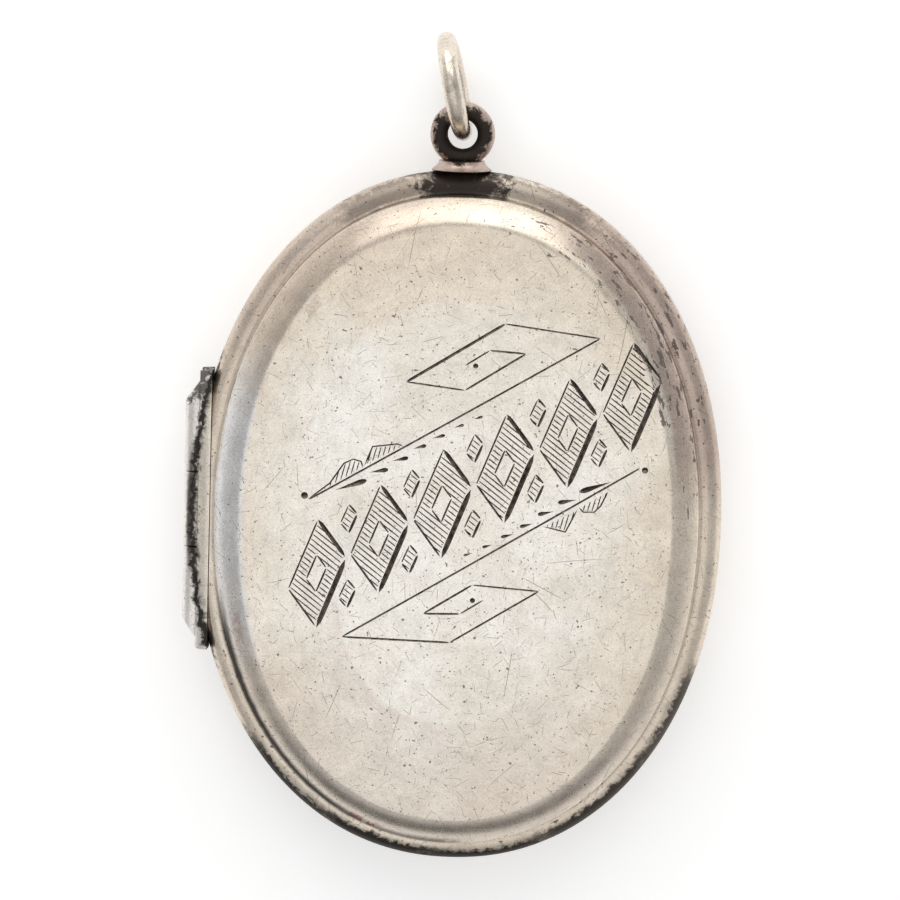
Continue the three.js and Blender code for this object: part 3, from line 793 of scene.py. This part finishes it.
vee = graver.put("GeometryNodeCurvePrimitiveCircle", {"Resolution": 3}).outputs[0]
shape = graver.combine(math.sqrt(3), given["Steepness"], 1.0)
vee = graver.put("GeometryNodeTransform", {"Geometry": vee, "Rotation": (0.0, 0.0, -math.pi / 6)}).outputs[0]
vee = graver.put("GeometryNodeTransform", {"Geometry": vee, "Scale": shape}).outputs[0]
cut = graver.put("GeometryNodeCurveToMesh", {
    "Curve": line, "Profile Curve": vee, "Scale": named(graver, "half_width", "FLOAT")}).outputs[0]
cut = graver.put("GeometryNodeMergeByDistance", {"Geometry": cut, "Distance": 1e-5}).outputs[0]
cut = graver.put("GeometryNodeRealizeInstances", {"Geometry": cut}).outputs[0]
cut = graver.put("GeometryNodeSetMaterial", {"Geometry": cut, "Material": given["Finish"]}).outputs[0]
graver.feed(result[0], cut)
print("graver cuts:", len(graver.nodes), "nodes")

# %% [markdown]
# ## Strokes
# Four kinds of stroke make the whole design: a plain line, a drop that swells towards one end,
# a round dot, and a hatch that fills a shape with parallel lines.

# %% The kinds of stroke
strokes = []


def ease(share):
    return math.sin(min(1.0, max(0.0, share)) * math.pi / 2)


def line_cut(points, half_width, lead_in=0.3, lead_out=0.3, step=0.45):
    """A line through the points. Lead in and out are how long its pointed ends are."""
    corners = [Vector(p) for p in points]
    lengths = [(b - a).length for a, b in zip(corners, corners[1:])]
    total, row, done = sum(lengths), [], 0.0
    for a, b, length in zip(corners, corners[1:], lengths):
        parts = max(2, math.ceil(length / step))
        row += [(a.lerp(b, i / parts), done + length * i / parts) for i in range(parts)]
        done += length
    row.append((corners[-1], total))
    extra = [lead_in * 0.5, total - lead_out * 0.5] if len(corners) == 2 else []
    row += [(corners[0].lerp(corners[1], at / total), at) for at in extra]
    row.sort(key=lambda item: item[1])
    kept = [row[0]] + [b for a, b in zip(row, row[1:]) if b[1] - a[1] > 0.02]
    kept[-1] = row[-1]
    strokes.append([(p.x, p.y, half_width * min(ease(at / lead_in), ease((total - at) / lead_out)))
                    for p, at in kept])


def drop_cut(thin, fat, half_width):
    """A drop, pointed at the thin end and round at the fat end."""
    a, b = Vector(thin), Vector(fat)
    shares = ((0, 0), (0.2, 0.22), (0.4, 0.5), (0.6, 0.78), (0.76, 1.0), (0.88, 0.9), (0.96, 0.55), (1, 0))
    strokes.append([(*a.lerp(b, s), half_width * w) for s, w in shares])


def dot_cut(centre, radius):
    x, y = centre
    strokes.append([(x + radius * math.cos(t), y, radius * math.sin(t))
                    for t in (math.pi * (1 - i / 8) for i in range(9))])


def hatch(outlines, angle, spacing, half_width, margin=0.07):
    """Parallel lines over what lies inside an odd number of the outlines."""
    direction = Vector((math.cos(angle), math.sin(angle)))
    normal = Vector((-direction.y, direction.x))
    levels = [normal.dot(Vector(p)) for outline in outlines for p in outline]
    for step in range(math.ceil(min(levels) / spacing), math.floor(max(levels) / spacing) + 1):
        level, found = (step + 0.02 * math.sin(step * 12.9)) * spacing, []
        for outline in outlines:
            for p, q in zip(outline, outline[1:] + outline[:1]):
                a, b = normal.dot(Vector(p)) - level, normal.dot(Vector(q)) - level
                if (a > 0) != (b > 0):
                    found.append(direction.dot(Vector(p).lerp(Vector(q), a / (a - b))))
        found.sort()
        for start, end in zip(found[::2], found[1::2]):
            if end - start > 3 * margin:
                ends = [direction * at + normal * level for at in (start + margin, end - margin)]
                line_cut(ends, half_width, 0.08, 0.12, step=1.2)


print("kinds of stroke: 4")

# %% [markdown]
# ## The design
# A band rises across the face at about 31 degrees. It holds a row of hatched lozenges with small
# pips between them, all with a heavy shadow line on the lower right, as if they stood up from
# the face. A ruled line with a key scroll closes the band above, and the same turned half round
# closes it below. Hatched leaves and a row of drops follow each ruled line.

# %% The design: band coordinates and lozenges
BAND_X, BAND_Y, BAND_ANGLE = 1.0, 2.4, math.radians(31.4)
ALONG = Vector((math.cos(BAND_ANGLE), math.sin(BAND_ANGLE)))
ABOVE = Vector((-ALONG.y, ALONG.x))
LEAN = ALONG.y / ALONG.x
HATCH_ANGLE, HATCH_GAP = math.radians(-37), 0.27
ROW_PITCH, PIP_ABOVE = 4.12, 1.85


def on_band(along, above):
    return Vector((BAND_X, BAND_Y)) + ALONG * along + ABOVE * above


def lozenge(along, above, half_long, half_tall):
    """Corners in the order left, top, right, bottom. The long corner points straight up the locket."""
    return [on_band(along + a * half_long + b * half_tall * LEAN, above + b * half_tall)
            for a, b in ((-1, 0), (0, 1), (1, 0), (0, -1))]


def shaded_outline(corners, thin, thick):
    """Light lines on the upper left, heavy ones on the lower right."""
    left, top, right, bottom = corners
    line_cut([left + (top - left).normalized() * 0.05, top], thin, 0.1, 0.3)
    line_cut([bottom, left - (left - bottom).normalized() * 0.05], thin * 1.2, 0.3, 0.1)
    centre = (left + right) / 2
    for a, b, size in ((top, right, thick * 0.8), (right, bottom, thick)):
        outward, lead = ((a + b) / 2 - centre).normalized() * size * 0.8, (b - a).length * 0.16
        line_cut([a + outward * 0.8, b + outward], size, lead, lead)


def plain_outline(corners, half_width):
    for a, b in zip(corners, corners[1:] + corners[:1]):
        inward = (b - a).normalized() * 0.04
        line_cut([a + inward, b - inward], half_width, 0.08, 0.08)


for number in range(6):
    middle = (number - 2.5) * ROW_PITCH
    outer = lozenge(middle, 0.0, 1.85, 2.6)
    inner = lozenge(middle, 0.0, 0.66, 0.92)
    hatch([outer, inner], HATCH_ANGLE, HATCH_GAP, 0.042)
    shaded_outline(outer, 0.05, 0.15)
    plain_outline(inner, 0.055)
for number in range(5):
    middle = (number - 2) * ROW_PITCH
    for above in (-PIP_ABOVE, PIP_ABOVE):
        pip = lozenge(middle + above * LEAN, above, 0.52, 0.66)
        hatch([pip], HATCH_ANGLE, HATCH_GAP, 0.036, margin=0.05)
        shaded_outline(pip, 0.045, 0.08)
print("strokes in the band:", len(strokes))

# %% [markdown]
# ## Scrolls, leaves and drops
# These don't repeat, so each one is drawn by its corners. A scroll is a list of straight cuts,
# each with its start, its end and its half width. A dot has a centre and a radius. The leaves
# and drops are given along the band and above its middle, and every drop is cut twice, the second
# time turned half round.

# %% The design: scrolls, leaves and drops
SCROLL_ABOVE = [((-8.33, 1.28), (7.93, 11.05), 0.055), ((7.93, 11.05), (2.55, 11.72), 0.05),
                ((2.55, 11.72), (-2.94, 8.24), 0.085), ((-2.94, 8.24), (0.39, 7.87), 0.05),
                ((0.39, 7.87), (3.77, 10.06), 0.06), ((3.77, 10.06), (1.72, 10.18), 0.06),
                ((1.72, 10.18), (0.35, 9.28), 0.05)]
SCROLL_BELOW = [((10.41, 3.73), (-6.25, -6.58), 0.055), ((-6.25, -6.58), (-0.08, -6.67), 0.06),
                ((-0.08, -6.67), (4.90, -3.53), 0.055), ((4.90, -3.53), (1.11, -3.29), 0.05),
                ((1.11, -3.29), (-1.63, -5.05), 0.06), ((-1.63, -5.05), (0.46, -4.99), 0.06),
                ((0.46, -4.99), (1.75, -4.15), 0.05)]
DOTS = [(-8.57, 1.51, 0.20), (0.95, 9.28, 0.15), (10.70, 3.62, 0.18), (1.15, -4.18, 0.15)]
LEAVES_ABOVE = [[(-8.6, 3.93), (-7.01, 4.14), (-5.75, 4.73), (-5.17, 4.68), (-4.84, 4.35), (-4.92, 3.99)],
                [(-4.80, 4.04), (-3.84, 4.77), (-2.53, 4.20), (-2.3, 3.92)]]
LEAVES_BELOW = [[(2.28, -3.93), (3.25, -4.86), (4.50, -4.06)],
                [(4.62, -4.00), (4.70, -4.37), (5.24, -4.68), (5.74, -4.54), (6.55, -4.00)]]
DROPS = [((-6.98, 3.65), (-5.08, 3.26), 0.16), ((-4.76, 3.58), (-3.71, 3.19), 0.13),
         ((-3.29, 3.51), (-2.38, 3.22), 0.12), ((-1.91, 3.54), (-1.14, 3.33), 0.11),
         ((-0.65, 3.52), (0.08, 3.32), 0.10), ((0.72, 3.45), (1.30, 3.31), 0.09),
         ((1.92, 3.32), (2.46, 3.20), 0.08)]
for start, end, half in SCROLL_ABOVE + SCROLL_BELOW:
    line_cut([start, end], half, 0.25, 0.25)
for x, y, radius in DOTS:
    dot_cut((x, y), radius)
for leaf in LEAVES_ABOVE + LEAVES_BELOW:
    outline = [on_band(*p) for p in leaf]
    line_cut(outline, 0.045, 0.2, 0.2)
    hatch([outline], math.radians(75), 0.24, 0.036, margin=0.05)
for thin, fat, half in DROPS:
    drop_cut(on_band(*thin), on_band(*fat), half)
    drop_cut(on_band(-thin[0], -thin[1]), on_band(-fat[0], -fat[1]), half)
print("strokes in all:", len(strokes))

# %% [markdown]
# ## Cutting the design
# Two strokes that cross can't be in the same cutter, because the boolean needs a clean solid. So
# each stroke goes to the first pass in which it touches nothing, and the cover is cut once for
# each pass. The strokes are always laid on an uncut copy of the cover, so that none of them dips
# into a groove that is already there. The cut faces bring the blackened finish with them.

# %% Cut the front cover
def apart(first, second):
    """True when no part of one stroke comes near the other."""
    room = 1.6 * (max(p[2] for p in first) + max(p[2] for p in second)) + 0.01
    for axis in (0, 1):
        if (min(p[axis] for p in first) - room > max(p[axis] for p in second)
                or min(p[axis] for p in second) - room > max(p[axis] for p in first)):
            return True
    dense = [[Vector(a[:2]).lerp(Vector(b[:2]), i / 4) for a, b in zip(s, s[1:]) for i in range(5)]
             for s in (first, second)]
    return min((p - q).length for p in dense[0] for q in dense[1]) > room + 0.06


passes = []
for stroke in strokes:
    for group in passes:
        if all(apart(stroke, other) for other in group):
            group.append(stroke)
            break
    else:
        passes.append([stroke])
guide = bpy.data.objects.new("uncut cover", front_cover.data.copy())
bpy.context.scene.collection.objects.link(guide)
for number, group in enumerate(passes):
    points = [(x, y, 0.0) for stroke in group for x, y, half in stroke]
    edges, start = [], 0
    for stroke in group:
        edges += [(start + i, start + i + 1) for i in range(len(stroke) - 1)]
        start += len(stroke)
    cutter = mesh_object("cutter", points, edges)
    widths = cutter.data.attributes.new("half_width", "FLOAT", "POINT")
    widths.data.foreach_set("value", [half for stroke in group for x, y, half in stroke])
    run_nodes(cutter, "graver cuts", Surface=guide, Finish=cut_silver)
    carve(front_cover, tidy_faces(cutter), materials="TRANSFER")
    print("pass", number, "strokes", len(group), "cover faces", len(front_cover.data.polygons))
bpy.data.objects.remove(guide)
settle(front_cover, "front", "case_silver", case_silver, "front_cover")

# %% [markdown]
# ## Inside the case
# A thin band inside the back rim is what the front half snaps over. Each half has a pressed
# frame with a shallow groove round its flange, and behind it the window, the blank portrait card
# and the backing card, each a flat oval sheet.

# %% Snap lip, frames and cards
lead = LIP_THICKNESS / 2
lip_section = [(LIP_INSET, -LIP_BELOW), (LIP_INSET + LIP_THICKNESS, -LIP_BELOW),
               (LIP_INSET + LIP_THICKNESS, LIP_ABOVE - 0.04), (LIP_INSET + LIP_THICKNESS - 0.04, LIP_ABOVE),
               (LIP_INSET + lead + 0.03, LIP_ABOVE), (LIP_INSET + lead - 0.03, LIP_ABOVE - 0.03),
               (LIP_INSET, LIP_ABOVE - lead)]
lip = swept("snap_lip_band", lip_section, FRONT, frame_silver)
settle(lip, "back", "frame_silver", frame_silver, "snap_lip")

flange_edge, flange_back = FRAME_INSET + FRAME_FLANGE, FRAME_SETBACK + FLANGE_THICKNESS
line_inset, line_width, line_depth = 2.62, 0.42, 0.07
frame_section = [(FRAME_INSET, FRAME_SETBACK + 0.04), (FRAME_INSET + 0.04, FRAME_SETBACK)]
frame_section += [(line_inset + line_width * i / 8, FRAME_SETBACK + line_depth * math.sin(math.pi * i / 8))
                  for i in range(9)]
frame_section += [(flange_edge - 0.16, FRAME_SETBACK), (flange_edge - 0.06, FRAME_SETBACK + 0.03),
                  (flange_edge, FRAME_SETBACK + 0.11), (flange_edge - 0.02, flange_back - 0.05),
                  (flange_edge - 0.12, flange_back), (FRAME_INSET + FRAME_WALL, flange_back),
                  (FRAME_INSET + FRAME_WALL, FRAME_SETBACK + FRAME_DEPTH),
                  (FRAME_INSET, FRAME_SETBACK + FRAME_DEPTH)]
card_finish = {"window": window_clear, "photo_card": photo_card, "backing_card": backing_card}
for body, side in (("back", BACK), ("front", FRONT)):
    bezel = swept(f"{body}_bezel", frame_section, side, frame_silver)
    settle(bezel, body, "frame_silver", frame_silver, f"{body}_photo_frame")
    for kind, (rise, thickness) in WINDOW_STACK.items():
        soft = 0.2 * thickness
        card = [(HALF_WIDTH, rise), (CARD_INSET + soft, rise), (CARD_INSET, rise + soft),
                (CARD_INSET, rise + thickness - soft), (CARD_INSET + soft, rise + thickness),
                (HALF_WIDTH, rise + thickness)]
        sheet = swept(f"{body}_{kind}_sheet", card, side, card_finish[kind], closed=False)
        settle(sheet, body, kind, card_finish[kind], f"{body}_{kind}")

# %% [markdown]
# ## The hinge
# Three lengths of tube on one pin: the outer two belong to the back half, the middle one to the
# front. Each half carries them on a leaf, a straight bar shaped like the rim and filed hollow
# for the barrel. The ends of the barrel are filed at a slant, so that they run into the rim.
# A tube is a profile turned round the pin, with its sharp edges broken by a small chamfer.

# %% Leaves, knuckles and pin
def tube_profile(start, end, start_slant=0, end_slant=0, soft=0.05):
    turn = 1 if end > start else -1
    return [(BORE_RADIUS, start, start_slant), (BARREL_RADIUS - soft, start, start_slant),
            (BARREL_RADIUS, start + soft * turn, start_slant), (BARREL_RADIUS, end - soft * turn, end_slant),
            (BARREL_RADIUS - soft, end, end_slant), (BORE_RADIUS, end, end_slant)]


for body, side in (("back", BACK), ("front", FRONT)):
    bead = quarter(BEAD_RADIUS, SEAM_GAP, BEAD_RADIUS, BEAD_RADIUS, 18)
    outline = [(inset - HALF_WIDTH, SEAM_Z + side * rise) for inset, rise in bead]
    outline.append((LEAF_X, SEAM_Z + side * SEAM_GAP))
    count, soft = len(outline), 0.06
    stations = [(-BARREL_HALF, soft), (soft - BARREL_HALF, 0.0),
                (BARREL_HALF - soft, 0.0), (BARREL_HALF, soft)]
    points = [(x + shrink * (LEAF_X - x) / 3, y, z + shrink * (SEAM_Z - z) / 3)
              for y, shrink in stations for x, z in outline]
    faces = [(s * count + i, s * count + (i + 1) % count,
              (s + 1) * count + (i + 1) % count, (s + 1) * count + i) for s in range(3) for i in range(count)]
    faces += [tuple(range(count)), tuple(range(3 * count, 4 * count))]
    leaf = tidy_faces(mesh_object(f"{body}_leaf_bar", points, faces=faces))
    carve(leaf, barrel_cutter())
    settle(leaf, body, "hinge_silver", hinge_silver, f"{body}_hinge_leaf")

near = KNUCKLE_HALF + KNUCKLE_GAP
for name, profile, body in (
        ("upper_knuckle", tube_profile(near, BARREL_END, end_slant=1), "back"),
        ("middle_knuckle", tube_profile(-KNUCKLE_HALF, KNUCKLE_HALF), "front"),
        ("lower_knuckle", tube_profile(-near, -BARREL_END, end_slant=-1), "back")):
    settle(turned(f"{name}_tube", profile), body, "hinge_silver", hinge_silver, name)
pin_dome = [(PIN_RADIUS * math.sin(t), PIN_END - 0.12 * (1 - math.cos(t)), 0) for t in
            (i / 8 * math.pi / 2 for i in range(9))]
pin_profile = pin_dome + [(r, -y, 0) for r, y, slant in pin_dome[::-1]]
settle(turned("hinge_pin_wire", pin_profile, steps=48), "back", "hinge_silver", hinge_silver, "hinge_pin")

# %% [markdown]
# ## The bail
# A flared collar is soldered on the back rim, with a fat fixed loop on it, and the jump ring
# hangs in the loop. The collar is turned, then hollowed to fit round the rim and the loop. Both
# rings are bent wire, so they are never quite even: noise thins them a little, and the ring is
# worn where it has rubbed in the loop.

# %% Collar, loop and jump ring
ALONG_X, ALONG_Y, ALONG_Z = Vector((1, 0, 0)), Vector((0, 1, 0)), Vector((0, 0, 1))
loop_centre = Vector((BAIL_X, LOOP_Y, SEAM_Z))


def uneven(seed, amount):
    return lambda turn: 1 - amount * (0.5 + 0.5 * noise.noise((2 * math.cos(turn), 2 * math.sin(turn), seed)))


base, collar_foot = HALF_HEIGHT - COLLAR_WRAP, HALF_HEIGHT + SEAT
flare = [(COLLAR_NECK + (COLLAR_BASE - COLLAR_NECK) * (1 - i / 10) ** 2,
          collar_foot + COLLAR_HEIGHT * i / 10, 0) for i in range(11)]
collar_profile = [(0, base, 0), (COLLAR_BASE, base, 0)] + flare + [(0, collar_foot + COLLAR_HEIGHT, 0)]
collar = turned("collar_foot", collar_profile, x=BAIL_X, steps=120)
over_front = box_cutter((-HALF_WIDTH, 0, SEAM_Z), (HALF_WIDTH, collar_foot, 4 * HALF_DEPTH))
bead = quarter(BEAD_RADIUS, SEAM_GAP, BEAD_RADIUS + SEAT, BEAD_RADIUS + SEAT, 18)
rim_space = swept("cutter", [(HALF_WIDTH, -SEAM_GAP), (-SEAT, -SEAM_GAP)] + bead
                  + [(HALF_WIDTH, BEAD_RADIUS + SEAM_GAP + SEAT)], BACK, bail_silver, closed=False)
loop_space = wire_ring("cutter", loop_centre, LOOP_RADIUS, LOOP_WIRE, ALONG_X, ALONG_Y, 96, 32, growth=SEAT)
carve(collar, over_front, rim_space, loop_space)
settle(collar, "back", "bail_silver", bail_silver, "bail_collar")

loop = wire_ring("bail_loop_wire", loop_centre, LOOP_RADIUS, LOOP_WIRE, ALONG_X, ALONG_Y, 120, 36,
                 wear=uneven(4.0, 0.07))
settle(loop, "back", "bail_silver", bail_silver, "bail_loop")

yaw = math.radians(RING_YAW)
ring_ahead = Vector((-math.sin(yaw), math.cos(yaw), 0))
ring_centre = loop_centre + ALONG_Y * RING_AWAY[0] + ring_ahead * RING_AWAY[1] - ALONG_Z * RING_DROOP
hand_bent = uneven(9.0, 0.05)


def rubbed(turn):
    """The bent wire, thinner where it lies in the loop and at the joint where its ends meet."""
    in_loop = max(0.0, math.cos(turn - math.pi)) ** 8
    joint = math.exp(-((turn - 1.05) / 0.03) ** 2)
    return hand_bent(turn) * (1 - 0.06 * in_loop - 0.05 * joint)


ring = wire_ring("jump_ring_wire", ring_centre, RING_RADIUS, RING_WIRE, ring_ahead, ALONG_Z, 160, 36,
                 wear=rubbed)
settle(ring, "ring", "ring_silver", ring_silver, "jump_ring")

# %% [markdown]
# ## The floor
# The locket lies on plain pale paper, a hair below it so that the two never share a face. The
# paper lies on a light table, which glows a little and keeps the shadow faint.

# %% Floor
FLOOR_HALF, FLOOR_Z = 0.6, -2e-5
corners = [(x * FLOOR_HALF, y * FLOOR_HALF, FLOOR_Z) for x, y in ((-1, -1), (1, -1), (1, 1), (-1, 1))]
floor = mesh_object("paper_floor", corners, faces=[(0, 1, 2, 3)])
paper, tree, shader, mm = new_material("pale paper")
fibre = noise_at(tree, mm, 0.5, 4.0, 0.6)
sheet_white = blend_colour(tree, fibre, (0.90, 0.90, 0.89, 1), (0.94, 0.94, 0.935, 1))
tree.feed(shader.inputs["Base Color"], sheet_white)
shader.inputs["Roughness"].default_value = 0.9
shader.inputs["Specular IOR Level"].default_value = 0.1
shader.inputs["Emission Color"].default_value = (1.0, 1.0, 1.0, 1)
shader.inputs["Emission Strength"].default_value = 0.34
floor.data.materials.append(paper)
print("floor:", 2 * FLOOR_HALF, "m square")

# %% [markdown]
# ## The light
# Silver shows what it reflects, so the light matters more than on any other material. A wide
# soft panel overhead gives the face its even tone. A brighter one beyond the top lights the upper
# shoulder and throws a soft shadow towards the foot. The walls of the room are grey, paler
# beyond the upper left and dark behind the foot, and the shoulders take their tones from them.

# %% Lights
def panel(name, place, target, width, height, radiance, colour):
    """A rectangular light. Radiance is how bright it looks, whatever its size."""
    light = bpy.data.lights.new(name, "AREA")
    light.shape, light.size, light.size_y, light.color = "RECTANGLE", width, height, colour
    light.energy = radiance * math.pi * width * height
    lamp = bpy.data.objects.new(name, light)
    bpy.context.scene.collection.objects.link(lamp)
    lamp.location = place
    lamp.rotation_euler = (Vector(target) - Vector(place)).to_track_quat("-Z", "Y").to_euler()
    lamp.visible_camera = False
    return lamp


panel("overhead panel", (-0.02, -0.06, 0.60), (0, 0, 0), 0.60, 0.55, 0.40, (1.0, 0.985, 0.96))
panel("upper panel", (0.00, 0.52, 0.30), (0, 0, 0.04), 0.78, 0.52, 1.25, (1.0, 0.99, 0.97))
world = bpy.data.worlds.new("studio")
world.use_nodes = True
room = Tree(world.node_tree)
background = room.nodes["Background"]
direction = room.put("ShaderNodeTexCoord").outputs["Generated"]
low = room.between(room.separate(direction)[2], 0.75, 0.15)
near_side = room.between(room.vector("DOT_PRODUCT", direction, (-0.08, -1.0, 0.0)), 0.4, 0.95)
dark = room.math("MULTIPLY", low, near_side)
far_side = room.between(room.vector("DOT_PRODUCT", direction, (-0.65, 0.76, 0.0)), 0.5, 0.9)
walls = blend_colour(room, room.math("MULTIPLY", low, far_side), (0.55, 0.55, 0.56, 1), (0.78, 0.77, 0.75, 1))
room.feed(background.inputs[0], blend_colour(room, dark, walls, (0.16, 0.155, 0.15, 1)))
bpy.context.scene.world = world
print("lights:", [light.name for light in bpy.data.lights])

# %% [markdown]
# ## The camera
# It looks down from nearly straight above, a little from the top and the right, with a long lens
# from far away, which keeps the perspective slight. `toward` points from the locket to
# the camera, and the distance follows from the width that is to be seen.

# %% Camera
TILT_TO_TOP, TILT_TO_SIDE, ROLL = math.radians(9.0), math.radians(2.5), math.radians(1.6)
toward = Vector((math.tan(TILT_TO_SIDE), math.tan(TILT_TO_TOP), 1.0)).normalized()
right = Vector((-math.sin(ROLL), math.cos(ROLL), 0.0)).cross(toward).normalized()
above = toward.cross(right)
VIEW_WIDTH, LENS, SENSOR_WIDTH, AIM_RIGHT, AIM_ABOVE = 0.0517, 200.0, 36.0, -0.00041, 0.00385
camera_data = bpy.data.cameras.new("camera")
camera_data.lens, camera_data.sensor_width, camera_data.clip_start = LENS, SENSOR_WIDTH, 0.01
camera = bpy.data.objects.new("camera", camera_data)
bpy.context.scene.collection.objects.link(camera)
distance = VIEW_WIDTH * LENS / SENSOR_WIDTH
aim = Vector((0, 0, 0.001 * SEAM_Z)) + right * AIM_RIGHT + above * AIM_ABOVE
turn = Matrix((right, above, toward)).transposed().to_4x4()
camera.matrix_world = Matrix.Translation(aim + toward * distance) @ turn
bpy.context.scene.camera = camera
bpy.context.scene.view_settings.view_transform = "Standard"
print("camera:", round(1000 * distance), "mm away, sees", round(1000 * VIEW_WIDTH, 1), "mm")
